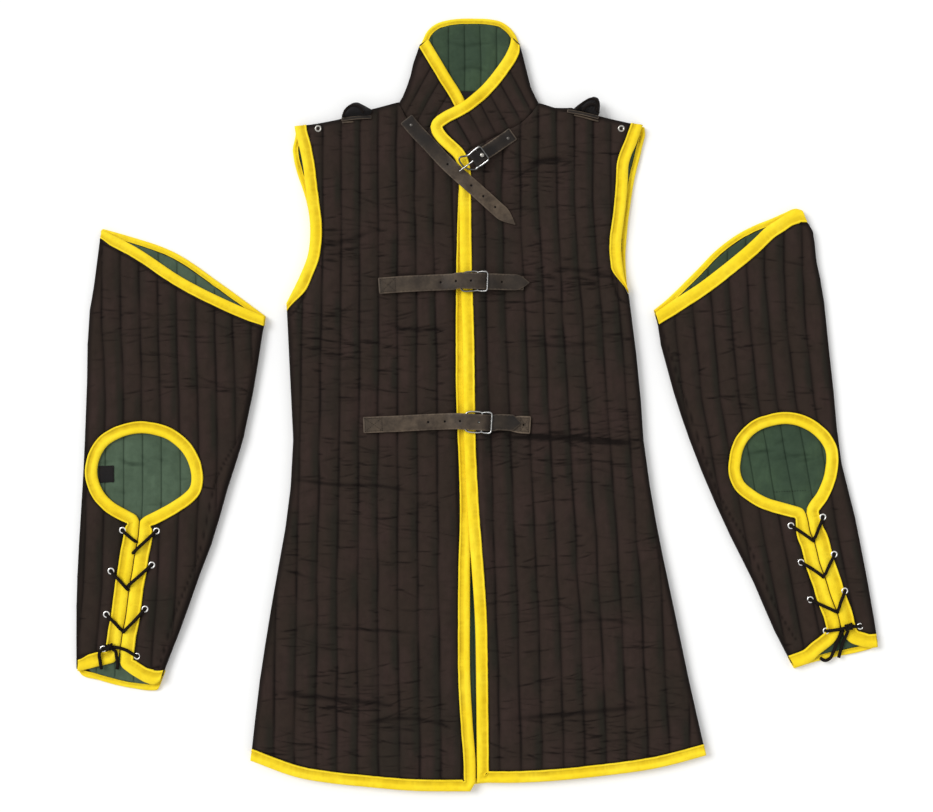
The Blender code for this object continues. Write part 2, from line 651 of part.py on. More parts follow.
def tube(name, line, wide, finish):
    """A round cord along (x, y, z) points."""
    curve = bpy.data.curves.new(name, "CURVE")
    curve.dimensions = "3D"
    curve.bevel_depth = wide / 2000
    curve.bevel_resolution = 2
    curve.use_fill_caps = True
    spline = curve.splines.new("POLY")
    spline.points.add(len(line) - 1)
    for target, p in zip(spline.points, line):
        target.co = (*(p * 0.001), 1)
    curve.materials.append(material(finish))
    thing = bpy.data.objects.new(name, curve)
    bpy.context.scene.collection.objects.link(thing)
    return thing


# ---------------------------------------------------------------- resting on the cloth

class Ground:
    """The pieces made so far, asked for their top height."""

    def __init__(self, things):
        depsgraph = bpy.context.evaluated_depsgraph_get()
        self.trees = [BVHTree.FromObject(thing, depsgraph) for thing in things]

    def joined_by(self, things):
        wider = Ground(things)
        wider.trees += self.trees
        return wider

    def top(self, x, y, bare=0.0):
        best = bare
        for tree in self.trees:
            hit = tree.ray_cast(Vector((x * 0.001, y * 0.001, 1.0)), Vector((0, 0, -1)))[0]
            if hit is not None:
                best = max(best, hit.z * 1000)
        return best

    def under_disc(self, x, y, radius, bare=0.0):
        spots = [(x, y)] + [(x + radius * math.cos(a), y + radius * math.sin(a))
                            for a in np.linspace(0, 2 * math.pi, 12, endpoint=False)]
        return max(self.top(*spot, bare) for spot in spots)

    def under_line(self, line, wide, reach):
        """A height for each point of a band: above all that lies within reach along it and under its width."""
        line = np.asarray(line, float)[:, :2]
        run = np.gradient(line, axis=0)
        run /= np.linalg.norm(run, axis=1)[:, None]
        side = np.column_stack([-run[:, 1], run[:, 0]])
        heights = np.array([max(self.top(*(p + s * a)) for a in np.linspace(-wide / 2 - 1, wide / 2 + 1, 7))
                            for p, s in zip(line, side)])
        along = np.concatenate([[0], np.cumsum(np.linalg.norm(np.diff(line, axis=0), axis=1))])
        return np.array([heights[np.abs(along - a) <= reach].max() for a in along])


# ---------------------------------------------------------------- the garment

def body_lift(points):
    """How far the left front is raised by the right front's edge under it."""
    points = np.asarray(points, float)
    edge = EDGE_RIGHT_LINE
    order = np.argsort(edge[:, 1])
    under = np.interp(points[:, 1], edge[order, 1], edge[order, 0])
    under = np.where(points[:, 1] > 466, -27 - (points[:, 1] - 466) * 0.6, under)
    beyond = 1 - ease(points[:, 0] - under, 9, 42)
    return OVERLAP_LIFT * beyond * (1 - ease(-points[:, 1], 236, 350))


EDGE_RIGHT_LINE = np.vstack([smooth(COLLAR_EDGE_RIGHT, 30)[4:], smooth(FRONT_EDGE_RIGHT, 30)])

# The bound edges of both fronts, each in one run with its cloth on the left
BOUND_RIGHT = np.vstack([smooth(HEM_RIGHT, 60)[::-1], smooth(FRONT_EDGE_RIGHT, 50)[::-1],
                         smooth(COLLAR_EDGE_RIGHT, 24)[::-1][1:]])
BOUND_LEFT = np.vstack([smooth(COLLAR_EDGE_LEFT, 22), smooth(COLLAR_CORNER_LEFT, 6)[1:],
                        smooth(FRONT_EDGE_LEFT, 50)[1:], smooth(HEM_LEFT, 60)[1:]])


def part_of(line, first, last):
    """The stretch of a line between the points nearest to two places."""
    a = int(np.argmin(np.linalg.norm(line - first, axis=1)))
    b = int(np.argmin(np.linalg.norm(line - last, axis=1)))
    return line[a:b + 1]


def body_phase(rows, side):
    y = np.array(rows["y"])[::-1]
    first, pitch = np.array(rows["first"])[::-1], np.array(rows["pitch"])[::-1]

    def seam_place(points):
        return side * (points[:, 0] - np.interp(points[:, 1], y, first)) / np.interp(points[:, 1], y, pitch)

    def seam_x(place, at):
        return np.interp(at, y, first) + side * place * np.interp(at, y, pitch)

    return (lambda points: crown(seam_place(points))), seam_x


def places(first, last):
    out = []
    for k in range(first, last + 1):
        out += [k, k + 0.3, k + 0.7]
    return out


def flat_wall(name, stretches, thick, tape):
    """A plain padded wall that lies on the table, thin in its bindings and rounded under at its seams."""
    outline, lines = edges_of(stretches)

    def nearest(points, kind):
        return np.min([away(points, line) for line in lines[kind]], axis=0)

    def high(points):
        thin = tape - EDGE_IN_TAPE
        return thick + (thin - thick) * (1 - ease(nearest(points, "tape"), TAPE_INSIDE + 1.5, TAPE_INSIDE + 8))

    def low(points):
        lifted = (thick - 2.5) * (1 - np.clip(nearest(points, "seam") / 7, 0, 1)) ** 2
        return EDGE_IN_TAPE + (lifted - EDGE_IN_TAPE) * ease(nearest(points, "tape"), TAPE + 1.5, TAPE + 6)

    def clear(tape_room, seam_room):
        return lambda p: inside(p, outline) & (nearest(p, "tape") > tape_room) & (nearest(p, "seam") > seam_room)

    top, under = Net(), Net()
    for line in lines["tape"]:
        for net, distance in ((top, TAPE_INSIDE + 1), (top, TAPE_INSIDE + 8), (under, TAPE + 1), (under, TAPE + 6)):
            net.run(inset(line, distance), clear(distance - 0.7, 2.5))
    for line in lines["seam"]:
        under.run(spaced(inset(line, 8), 45), clear(TAPE + 4, 7))
    for net in (top, under):
        net.run(grid_points(outline, 120), clear(40, 20), link=False)
    return sheet(name, outline, low, high, under, top, "shell")


def plain_sheet(name, outline, floor, thick, finish, pitch=120):
    """An unquilted sheet over a closed outline."""
    outline = joined([np.asarray(outline, float)])
    net = Net()
    closed = np.vstack([outline, outline[:1]])
    net.run(grid_points(outline, pitch), lambda p: inside(p, outline) & (away(p, closed) > 12), link=False)
    return sheet(name, outline, lambda p: np.full(len(p), float(floor)), lambda p: np.full(len(p), floor + thick),
                 net, net, finish)


def make_body():
    """Back, its lining, and the two fronts."""
    rows = np.arange(-540, 430, 84.0)
    shoulder_right, shoulder_left = smooth(SHOULDER_RIGHT, 40)[::-1], smooth(SHOULDER_LEFT, 40)[::-1]
    side_right, side_left = smooth(SIDE_RIGHT, 60), smooth(SIDE_LEFT, 60)[::-1]
    back = [("tape", smooth(BACK_ARMHOLE_RIGHT, 30)), ("seam", side_right), ("tape", smooth(HEM_BACK, 60)),
            ("seam", side_left), ("tape", smooth(BACK_ARMHOLE_LEFT, 30)[::-1]), ("seam", shoulder_left),
            ("join", smooth(NECKLINE_BACK, 40)[::-1]), ("seam", shoulder_right)]
    room = {"tape": TAPE_INSIDE + 0.7, "seam": LINING_INSET, "join": LINING_INSET + 1}
    plain_sheet("back_lining", drawn_in(back, room), BODY_BACK + GAP, LINING, "lining")
    right = [("tape", smooth(ARMHOLE_RIGHT, 22)), ("seam", side_right),
             ("tape", part_of(BOUND_RIGHT, HEM_RIGHT[-1], FRONT_EDGE_RIGHT[0])),
             ("join", smooth(NECKLINE_RIGHT, 30)[::-1]), ("seam", shoulder_right)]
    left = [("tape", part_of(BOUND_LEFT, FRONT_EDGE_LEFT[2], HEM_LEFT[-1])), ("seam", side_left),
            ("tape", smooth(ARMHOLE_LEFT, 22)[::-1]), ("seam", shoulder_left), ("join", smooth(NECKLINE_LEFT, 15))]
    right_phase, right_seams = body_phase(SEAM_ROWS_RIGHT, -1)
    left_phase, left_seams = body_phase(SEAM_ROWS_LEFT, 1)
    flat_wall("back", back, BODY_BACK, BODY_TAPE_HEIGHT)
    return [
        cloth("front_right", right, BODY_FLOOR, BODY_SEAM, BODY_CREST, right_phase, rows,
              {"places": places(0, 9), "x": right_seams}, BODY_TAPE_HEIGHT, CREASES_RIGHT),
        cloth("front_left", left, BODY_FLOOR, BODY_SEAM, BODY_CREST, left_phase, rows,
              {"places": places(-1, 9), "x": left_seams}, BODY_TAPE_HEIGHT, CREASES_LEFT, body_lift)]


def make_collar():
    """Collar's back, its lining and the dark tape over the neck seam, and the two ends of its front."""
    side_right, side_left = smooth(COLLAR_SIDE_RIGHT, 30), smooth(COLLAR_SIDE_LEFT, 30)[::-1]
    neck, top = smooth(NECKLINE_BACK, 40), smooth(COLLAR_TOP, 24)[::-1]
    flat_wall("collar_back", [("tape", top), ("seam", side_right), ("join", neck), ("seam", side_left)],
              BODY_BACK, BODY_TAPE_HEIGHT)
    fine_right, fine_left = spaced(side_right, 6), spaced(side_left, 6)
    across = np.array([(np.interp(NECK_TAPE_TOP, line[::way, 1], line[::way, 0]) + clear, NECK_TAPE_TOP)
                       for line, way, clear in ((side_right, -1, 12), (side_left, 1, -12))])
    low_edge = spaced(inset(neck, -LINING_INSET), 6)
    low_edge = low_edge[(low_edge[:, 0] > neck[0][0] + 22) & (low_edge[:, 0] < neck[-1][0] - 20)]
    plain_sheet("neck_tape", drawn_in([("seam", fine_right[fine_right[:, 1] < NECK_TAPE_TOP]), ("free", low_edge),
                                       ("seam", fine_left[fine_left[:, 1] < NECK_TAPE_TOP]),
                                       ("free", across[::-1])],
                                      {"seam": LINING_INSET, "free": 0.0}), BODY_BACK + GAP, LINING, "shell")
    plain_sheet("collar_lining", drawn_in([("tape", top), ("seam", fine_right[fine_right[:, 1] > NECK_TAPE_TOP]),
                                           ("free", across),
                                           ("seam", fine_left[fine_left[:, 1] > NECK_TAPE_TOP])],
                                          {"seam": LINING_INSET, "free": GAP, "tape": TAPE_INSIDE + 0.7}),
                BODY_BACK + GAP, LINING, "lining", 60)
    rows = np.arange(380, 550, 40.0)

    def slanted(side):
        def place(points):
            return (side * (points[:, 0] + 12) + 0.55 * (points[:, 1] - 480)) / COLLAR_PITCH

        def seam_x(number, at):
            return side * (number * COLLAR_PITCH - 0.55 * (at - 480)) - 12

        return (lambda points: crown(place(points))), seam_x

    right_phase, right_seams = slanted(-1)
    left_phase, left_seams = slanted(1)
    return [
        cloth("collar_right", [("seam", side_right), ("join", smooth(NECKLINE_RIGHT, 30)),
                               ("tape", part_of(BOUND_RIGHT, COLLAR_EDGE_RIGHT[-1], COLLAR_EDGE_RIGHT[0]))],
              BODY_FLOOR, COLLAR_SEAM, COLLAR_CREST, right_phase, rows,
              {"places": places(-2, 5), "x": right_seams}, BODY_TAPE_HEIGHT),
        cloth("collar_left", [("tape", part_of(BOUND_LEFT, COLLAR_EDGE_LEFT[0], FRONT_EDGE_LEFT[2])),
                              ("join", smooth(NECKLINE_LEFT, 15)[::-1]),
                              ("seam", side_left)],
              BODY_FLOOR, COLLAR_SEAM, COLLAR_CREST, left_phase, rows,
              {"places": places(-2, 5), "x": left_seams}, BODY_TAPE_HEIGHT, lift=body_lift)]


def make_body_bindings():
    high = BODY_TAPE_HEIGHT
    made = [binding("binding_front_right", BOUND_RIGHT, BODY_FLOOR, high, TAPE, TAPE - 5),
            binding("binding_front_left", BOUND_LEFT, BODY_FLOOR, high, TAPE, TAPE - 5, body_lift),
            binding("binding_armhole_right", smooth(ARMHOLE_RIGHT, 22), BODY_FLOOR, high, TAPE, TAPE - 5),
            binding("binding_armhole_left", smooth(ARMHOLE_LEFT, 22)[::-1], BODY_FLOOR, high, TAPE, TAPE - 5)]
    binding("binding_armhole_right_back", smooth(BACK_ARMHOLE_RIGHT, 30), 0, high, TAPE_INSIDE, TAPE)
    binding("binding_armhole_left_back", smooth(BACK_ARMHOLE_LEFT, 30)[::-1], 0, high, TAPE_INSIDE, TAPE)
    binding("binding_hem_back", smooth(HEM_BACK, 60), 0, high, TAPE_INSIDE, TAPE)
    binding("binding_collar_back", smooth(COLLAR_TOP, 24)[::-1], 0, high, TAPE_INSIDE, TAPE)
    return made


def make_sleeve(side):
    """One loose sleeve: back wall, its lining, upper wall cut by the elbow hole and slit, bindings and lace."""
    cut = SLEEVES[side]
    name = "sleeve_" + side + "_"
    grain_y, grain_x = np.array(cut["grain"]["y"])[::-1], np.array(cut["grain"]["x"])[::-1]
    outer, inner = smooth(cut["outer"], 50), smooth(cut["inner"], 50)
    cuff_outer, cuff_inner = smooth(cut["cuff_outer"], 16), smooth(cut["cuff_inner"], 16)
    if side == "right":
        first, second = outer, inner
        cuff_first, cuff_second = cuff_outer, cuff_inner
    else:
        first, second = inner, outer
        cuff_first, cuff_second = cuff_inner[::-1], cuff_outer[::-1]
    head, head_back = smooth(cut["head"], 30)[::-1], smooth(cut["head_back"], 30)[::-1]
    slit = smooth(cut["slit"], 34)
    up, down = inset(slit[::-1], GAP), inset(slit, GAP)
    hole = smooth(cut["hole"], 22)
    opening = joined([cuff_first, up[1:], hole[1:-1], down[:-1], cuff_second, cuff_second[-1:]])

    back = [("seam", first), ("tape", smooth(cut["cuff_back"], 30)), ("seam", second[::-1]), ("tape", head_back)]
    flat_wall(name + "back", back, SLEEVE_BACK, SLEEVE_TAPE_HEIGHT)
    room = {"tape": TAPE_INSIDE + 0.7, "seam": LINING_INSET + 3}
    plain_sheet(name + "lining", drawn_in(back, room), SLEEVE_BACK + GAP, LINING, "lining", 90)

    def place(points):
        return (points[:, 0] - np.interp(points[:, 1], grain_y, grain_x)) / SLEEVE_PITCH

    def seam_x(number, at):
        return number * SLEEVE_PITCH + np.interp(at, grain_y, grain_x)

    rows = np.arange(-380, 270, 80.0)
    wall = cloth(name + "front", [("seam", first), ("tape", opening), ("seam", second[::-1]), ("tape", head)],
                 SLEEVE_FLOOR, SLEEVE_SEAM, SLEEVE_CREST, lambda p: crown(place(p)), rows,
                 {"places": places(-6, 6), "x": seam_x}, SLEEVE_TAPE_HEIGHT)
    high = SLEEVE_TAPE_HEIGHT
    tape = binding(name + "binding_opening", opening, SLEEVE_FLOOR, high, TAPE, TAPE - 6)
    binding(name + "binding_head", head, SLEEVE_FLOOR, high, TAPE, TAPE - 6)
    binding(name + "binding_head_back", head_back, 0, high, TAPE_INSIDE, TAPE)
    binding(name + "binding_cuff_back", smooth(cut["cuff_back"], 30), 0, high, TAPE_INSIDE, TAPE)
    return [wall, tape]


def rounded(corners, radii, per_corner=4):
    """A closed line through corners, each rounded to its radius."""
    corners = np.asarray(corners, float)
    out = []
    for i, corner in enumerate(corners):
        into = corner - corners[i - 1]
        out_of = corners[(i + 1) % len(corners)] - corner
        a = corner - into / np.linalg.norm(into) * radii[i]
        b = corner + out_of / np.linalg.norm(out_of) * radii[i]
        for t in np.linspace(0, 1, per_corner):
            out.append((1 - t) ** 2 * a + 2 * t * (1 - t) * corner + t * t * b)
    return np.array(out)


def make_closure(which, ground):
    """Strap, buckle and holder. Heights at the buckle are counted from the cloth's top under it."""
    cut = CLOSURES[which]
    bar = np.array(cut["bar"], float)
    toward = bar - cut["holder"]
    toward /= np.linalg.norm(toward)
    beside = np.array([-toward[1], toward[0]])
    made = []
    if not cut["threaded"]:
        line = spaced(smooth(cut["strap"], 10), 9)
        high = ground.under_line(line, cut["wide"], 9) + 2 * GAP
        made.append(strip(which + "_strap", np.column_stack([line, high]), cut["wide"], STRAP_THICK, tip=14))
        ground = ground.joined_by(made)
    round_end, square_end, room, bent = cut["frame"]
    wide = cut["wide"] + room
    base = max(ground.top(*(bar + toward * t + beside * s)) for t in np.linspace(-20, 30, 11)
               for s in np.linspace(-wide / 2 - 2, wide / 2 + 2, 7)) + GAP

    def frame_high(t):
        """Middle of the frame's wire above base, low at the round end and raised at the square end."""
        return BAR_HIGH + (t / round_end) * (WIRE / 2 - BAR_HIGH) if t > 0 else BAR_HIGH - t * SQUARE_RISE

    def placed(t, s, high):
        return (*(bar + toward * t + beside * s), base + high)

    half = wide / 2
    loop = rounded([(round_end, -half), (round_end, half), (-square_end, half), (-square_end, -half)], (9, 9, 4, 4))
    past = [5.0] if bent else []
    loop = np.vstack([loop[:8], [(t, half) for t in past + [0]], loop[8:], [(t, -half) for t in [0] + past]])
    loop[:, 1] += bent * np.clip((loop[:, 0] - 5) / (round_end - 5), 0, 1)
    frame = wire(which + "_buckle", [placed(t, s, frame_high(t)) for t, s in loop], WIRE, "chrome", closed=True)
    centre = wire(which + "_buckle_bar", [placed(0, s, BAR_HIGH) for s in (-half, 0, half)], WIRE, "chrome")
    tip = PRONG_WIRE / 2 + WIRE - 0.4
    prong = wire(which + "_prong", [placed(-0.6, 0, BAR_HIGH), placed(6, 0, BAR_HIGH + 0.4),
                                    placed(round_end - 3, 0, tip + 0.4), placed(round_end, 0, tip),
                                    placed(round_end + PRONG_PAST, 0, tip - 0.4)], PRONG_WIRE, "chrome")
    made.append(fuse(frame, [centre, prong]))

    far = np.array(cut["holder"], float)
    reach = np.linalg.norm(far - bar)
    line = spaced([far, bar + (far - bar) / reach * 5], 10)
    high = ground.under_line(line, HOLDER_WIDE, 10) + 2 * GAP
    near_bar = np.linalg.norm(line - bar, axis=1) < 24
    high = np.where(near_bar, base, np.maximum(high, np.minimum(base, high)))
    wrap = [placed(math.cos(a) * HOLDER_ROUND, 0, BAR_HIGH + math.sin(a) * HOLDER_ROUND)
            for a in np.radians([-60, -20, 20, 60])]
    path = np.vstack([np.column_stack([line, high]), [placed(0.5, 0, BAR_HIGH - HOLDER_ROUND)], wrap,
                      [placed(-0.5, 0, BAR_HIGH + HOLDER_ROUND), placed(-HOLDER_RETURN, 0, BAR_HIGH + HOLDER_ROUND)]])
    rows = len(line)
    made.append(strip(which + "_holder", path, HOLDER_WIDE, HOLDER_THICK, slot=(rows - 1, rows + 5)))
    if cut["threaded"]:
        made.append(threaded_strap(which, cut, ground.joined_by(made[-1:]), bar, toward, base))
    return made


def threaded_strap(which, cut, ground, bar, toward, base):
    """The strap over the prong and the centre bar and under the square end of the buckle."""
    line = smooth(cut["strap"], 8)
    along = (line - bar) @ toward
    round_end, square_end = cut["frame"][:2]
    line = np.vstack([line[np.abs(along - 6) > 26], bar + np.outer(np.linspace(30, -18, 13), toward)])
    line = line[np.argsort((bar - line) @ toward)]
    along = (line - bar) @ toward
    rest = ground.under_line(line, cut["wide"], 8) + GAP
    over = base + np.interp(along, [-square_end + 4, -5, 4, round_end + 4, round_end + 22],
                            [0, OVER_BAR, OVER_BAR, OVER_ROUND, 0])
    passed = along < -square_end + 5
    beside_bar = passed & (along > -square_end - 12)
    rest = np.where(beside_bar, base + HOLDER_THICK + GAP, rest)
    high = np.where(passed, rest, np.maximum(rest, over))
    return strip(which + "_strap", np.column_stack([line, high]), cut["wide"], STRAP_THICK, tip=14)


def make_shoulder(side, ground):
    """The small leather tab, the lace knotted on it and the eyelet beside it."""
    tie = SHOULDER_TIES[side]
    line = spaced(tie["tab"], 12)
    high = ground.under_line(line, TAB_WIDE, 12) + GAP
    tab = strip("shoulder_tab_" + side, np.column_stack([line, np.full(len(line), high.max())]), TAB_WIDE, STRAP_THICK)
    ground = ground.joined_by([tab])
    outline = smooth(tie["knot"] + tie["knot"][:1], 7)[:-1]
    if np.sum(outline[:, 0] * np.roll(outline[:, 1], -1) - outline[:, 1] * np.roll(outline[:, 0], -1)) < 0:
        outline = outline[::-1]
    floor = max(ground.top(*p) for p in np.vstack([outline, outline * 0.5 + outline.mean(axis=0) * 0.5])) + GAP
    net = Net()
    middle = outline.mean(axis=0)
    for share in (0.72, 0.35):
        net.run(middle + (outline[::2] - middle) * share, lambda p: np.ones(len(p), bool), 2, link=False)
    edge = np.vstack([outline, outline[:1]])

    def high_at(points):
        return floor + 2 + (tie["high"] - 2) * np.sin(np.clip(away(points, edge) / 9, 0, 1) * math.pi / 2)

    sheet("shoulder_tie_" + side, outline, lambda p: np.full(len(p), floor), high_at, Net(), net, "lace")
    x, y = SHOULDER_EYELETS[side]
    seat = ground.under_disc(x, y, EYELET_OUTER / 2 + 1) + GAP
    ring = [(EYELET_OUTER / 2, 0), (EYELET_OUTER / 2 - 0.8, EYELET_HIGH), (EYELET_HOLE / 2 + 0.6, EYELET_HIGH),
            (EYELET_HOLE / 2, 0)]
    turned("shoulder_eyelet_" + side, (x, y, seat), ring, 16)


def turned(name, at, section, sides):
    """A ring turned about a vertical axis from (radius, height) corners."""
    points = [(at[0] + r * math.cos(a), at[1] + r * math.sin(a), at[2] + z)
              for a in np.linspace(0, 2 * math.pi, sides, endpoint=False) for r, z in section]
    count, faces = len(section), []
    for k in range(sides):
        for c in range(count):
            a, b = k * count + c, k * count + (c + 1) % count
            d, e = (k + 1) % sides * count + c, (k + 1) % sides * count + (c + 1) % count
            faces += [(a, d, e), (a, e, b)]
    return solid(name, points, faces, "chrome")


def make_lacing(side, ground):
    """Three crossings of the slit, the tied strand at the cuff and its two free ends."""
    cut = SLEEVES[side]
    name = "sleeve_" + side + "_lace_"
    for number, (first, bottom, last) in enumerate(cut["laces"]):
        line = rounded_turn(first, bottom, last)
        high = ground.under_line(line, LACE + 1, 10) + GAP + LACE / 2
        tube(name + str(number + 1), np.column_stack([line, high]), LACE, "lace")
    line = smooth(cut["bow"], 5)
    high = ground.under_line(line, LACE, 6) + GAP + LACE / 2
    strand = wire(name + "bow", np.column_stack([line, high]), LACE, "lace")
    x, y = cut["knot"]
    level_at = high[np.argmin(np.linalg.norm(line - (x, y), axis=1))]
    knot = wire(name + "knot", [(x + a, y + a * 0.16, level_at + 1.2) for a in (-6, -4.5, -1.5, 1.5, 4.5, 6)],
                [2.2, 5.2, 6.6, 6.6, 5.2, 2.2], "lace")
    fuse(strand, [knot])
    wider = ground.joined_by([])
    for number, end in enumerate(cut["ends"]):
        line = spaced(smooth(end, 4), LACE * 2.2)
        high = np.maximum(wider.under_line(line, LACE, 6) + GAP + LACE / 2, level_at - 1.5)
        tube(name + "end_" + str(number + 1), np.column_stack([line, high]), LACE, "lace")


def rounded_turn(first, bottom, last):
    first, bottom, last = (np.array(p, float) for p in (first, bottom, last))
    turn = [bottom + (first - bottom) * 0.16, bottom + (first + last - 2 * bottom) * 0.03,
            bottom + (last - bottom) * 0.16]
    return spaced(np.vstack([first, (first + bottom) / 2, turn, (last + bottom) / 2, last]), LACE * 2.4)


for leftover in list(bpy.data.objects):
    bpy.data.objects.remove(leftover)

fronts = make_body()
collars = make_collar()
tapes = make_body_bindings()
sleeve_tops = {sleeve: make_sleeve(sleeve) for sleeve in SLEEVES}
cloth_top = Ground(fronts + collars + tapes)
for closure in CLOSURES:
    make_closure(closure, cloth_top)
for which in SHOULDER_TIES:
    make_shoulder(which, cloth_top)
plain_sheet("sleeve_right_patch", PATCH[::-1], SLEEVE_BACK + LINING + 2 * GAP, 0.6, "shell")
for sleeve in SLEEVES:
    make_lacing(sleeve, Ground(sleeve_tops[sleeve]))

bpy.context.view_layer.update()
nodes = [thing for thing in bpy.data.objects if not thing.hide_render]
corners = np.array([Vector(corner) for thing in nodes for corner in thing.bound_box])
middle = (corners.min(axis=0) + corners.max(axis=0)) / 2
for thing in bpy.data.objects:
    thing.location.x -= middle[0]
    thing.location.y -= middle[1]
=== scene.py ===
import math

import bpy
import numpy as np
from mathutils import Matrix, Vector
from mathutils.bvhtree import BVHTree
from mathutils.geometry import delaunay_2d_cdt


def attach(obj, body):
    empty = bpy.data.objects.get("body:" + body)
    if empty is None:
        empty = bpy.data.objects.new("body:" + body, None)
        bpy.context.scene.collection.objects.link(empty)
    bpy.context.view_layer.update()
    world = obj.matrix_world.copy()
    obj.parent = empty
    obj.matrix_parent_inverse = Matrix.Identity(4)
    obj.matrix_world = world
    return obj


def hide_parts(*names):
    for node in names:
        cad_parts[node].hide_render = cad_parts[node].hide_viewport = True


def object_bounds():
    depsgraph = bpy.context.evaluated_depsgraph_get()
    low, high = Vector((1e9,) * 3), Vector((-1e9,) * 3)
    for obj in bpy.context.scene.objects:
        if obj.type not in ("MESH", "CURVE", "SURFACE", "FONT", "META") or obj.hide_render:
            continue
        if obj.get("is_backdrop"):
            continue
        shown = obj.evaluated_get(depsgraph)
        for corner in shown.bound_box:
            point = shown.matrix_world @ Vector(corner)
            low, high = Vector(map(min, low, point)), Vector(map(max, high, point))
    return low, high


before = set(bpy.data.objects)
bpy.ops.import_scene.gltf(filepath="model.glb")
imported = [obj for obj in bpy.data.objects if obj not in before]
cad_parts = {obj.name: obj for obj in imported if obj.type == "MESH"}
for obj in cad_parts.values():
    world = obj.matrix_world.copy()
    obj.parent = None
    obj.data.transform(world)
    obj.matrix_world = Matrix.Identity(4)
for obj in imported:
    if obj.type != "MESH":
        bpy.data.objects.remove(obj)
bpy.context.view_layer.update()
print("frame loaded:", len(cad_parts), "nodes")

# Sizes are in millimetres, heights from the table. Every outline below counts from this point of the frame.
tableShift = np.array([1.294, -1.368])

layers = {"bodyBack": 8.0, "sleeveBack": 6.0, "lining": 1.0, "bodyFloor": 9.6, "sleeveFloor": 7.6,
          "overlap": 6.3}
tape = {"wide": 18.0, "inside": 9.0, "bodyHigh": 6.0, "sleeveHigh": 5.2, "edgeIn": 3.5, "step": 2.4,
        "rim": 0.7, "groove": 0.75, "pucker": 0.42, "stitchAt": 0.79}

# Outlines of the body as (x, y). Right and left are the wearer's.
shoulderRight = [(-274, 418), (-242, 422), (-206, 429), (-158, 444), (-117, 455)]
shoulderLeft = [(92, 454), (118, 446), (142, 446), (190, 432), (232, 422.5), (249, 420)]
necklineRight = [(-117, 453), (-108, 434), (-90, 410), (-63, 384), (-26, 362), (-8, 356)]
necklineLeft = [(92, 453), (82, 438), (64, 422), (42, 410), (-10, 382), (-33.5, 368)]
necklineBack = [(-117, 455), (-60, 441), (-12, 437), (40, 441), (92, 454)]
sideRight = [(-286, 153), (-279, 8), (-276, -52), (-280, -124), (-309, -304), (-326, -412), (-340, -534)]
sideLeft = [(227, 172), (231, 142), (246, 8), (250, -52), (260, -124), (303, -340), (318, -412), (344, -526)]
armholeRight = [(-274, 418), (-273, 412), (-266.5, 386), (-261, 358), (-257.5, 327), (-253.7, 298),
                (-251, 276), (-250.6, 252), (-254, 225), (-264.5, 197), (-286, 153)]
armholeLeft = [(249, 420), (243.5, 404), (239, 391), (231.5, 374), (228, 362), (226.5, 339), (223.5, 299),
               (220, 272), (217, 249), (216.7, 229), (219, 207), (223, 186), (227, 172)]
backArmholeRight = [(-273, 417), (-273.5, 406), (-275.5, 396), (-277.5, 388), (-276.5, 374), (-270, 346.5),
                    (-263, 326.5), (-257.6, 309), (-253.7, 291), (-251.5, 270), (-251, 252), (-254.4, 225),
                    (-264.8, 197), (-286, 153)]
backArmholeLeft = [(252.5, 418), (253.5, 406), (250.5, 395), (246, 375), (240, 352), (235.5, 330),
                   (231.5, 303), (228, 278), (225.5, 251), (224, 229), (224.3, 206), (225.8, 184), (227, 172)]
collarTop = [(-86, 541), (-81, 551), (-77.5, 559), (-71, 567.5), (-61, 574.5), (-43, 580), (-26, 582),
             (-4, 582.3), (21, 581), (35, 578), (46, 571.5), (54, 563.5), (60, 553.5), (64, 542)]
collarSideRight = [(-86, 541), (-96, 512), (-100, 494), (-106, 476), (-112, 462), (-117, 454)]
collarSideLeft = [(64, 542), (68, 528), (72, 512), (81, 476), (87, 464), (92, 454)]
collarEdgeRight = [(-73, 549), (-70, 544), (-54, 517.5), (-37.5, 490), (-26.5, 473), (-16, 452), (-8, 430),
                   (-4, 405), (-8, 356)]
frontEdgeRight = [(-8, 356), (-9.5, 322), (-12.5, 235), (-13.8, 100), (-13.5, 20), (-11.5, -38), (-8.6, -110),
                  (-7.8, -180), (-9.6, -232), (-10.5, -320), (-10, -412), (-6, -484), (-2, -540), (-2, -566)]
hemRight = [(-10, -580), (-98, -579), (-170, -573), (-218, -568), (-266, -560), (-340, -534)]
collarEdgeLeft = [(51, 551), (50, 543), (43.5, 527), (31, 508), (14.5, 487), (-4, 468), (-17, 457),
                  (-33, 447.5), (-49, 439.5), (-60, 432.5)]
collarCornerLeft = [(-60, 432.5), (-67, 425), (-69.7, 416.5)]
frontEdgeLeft = [(-69.7, 416.5), (-68, 408), (-60.5, 396), (-46, 381.5), (-33.5, 369), (-27.5, 350),
                 (-27, 322), (-26, 232), (-22, 92), (-21, 20), (-20.3, -40), (-17.5, -110), (-14.3, -165),
                 (-9, -232), (-4, -304), (-1, -448), (0, -567)]
hemLeft = [(0, -567), (64, -567), (178, -558), (280, -543), (344, -526)]
hemBack = [(-339, -531), (-266, -556), (-170, -569), (-98, -575), (-2, -571), (64, -563), (178, -554),
           (280, -539), (343, -524)]


# Lines in the plane

def runAlong(line):  # how far along the line each of its points is
    return np.concatenate([[0], np.cumsum(np.linalg.norm(np.diff(line, axis=0), axis=1))])


def evenLine(line, step):
    line = np.asarray(line, float)
    along = runAlong(line)
    stops = np.linspace(0, along[-1], max(2, round(along[-1] / step) + 1))
    return np.stack([np.interp(stops, along, line[:, k]) for k in range(line.shape[1])], axis=1)


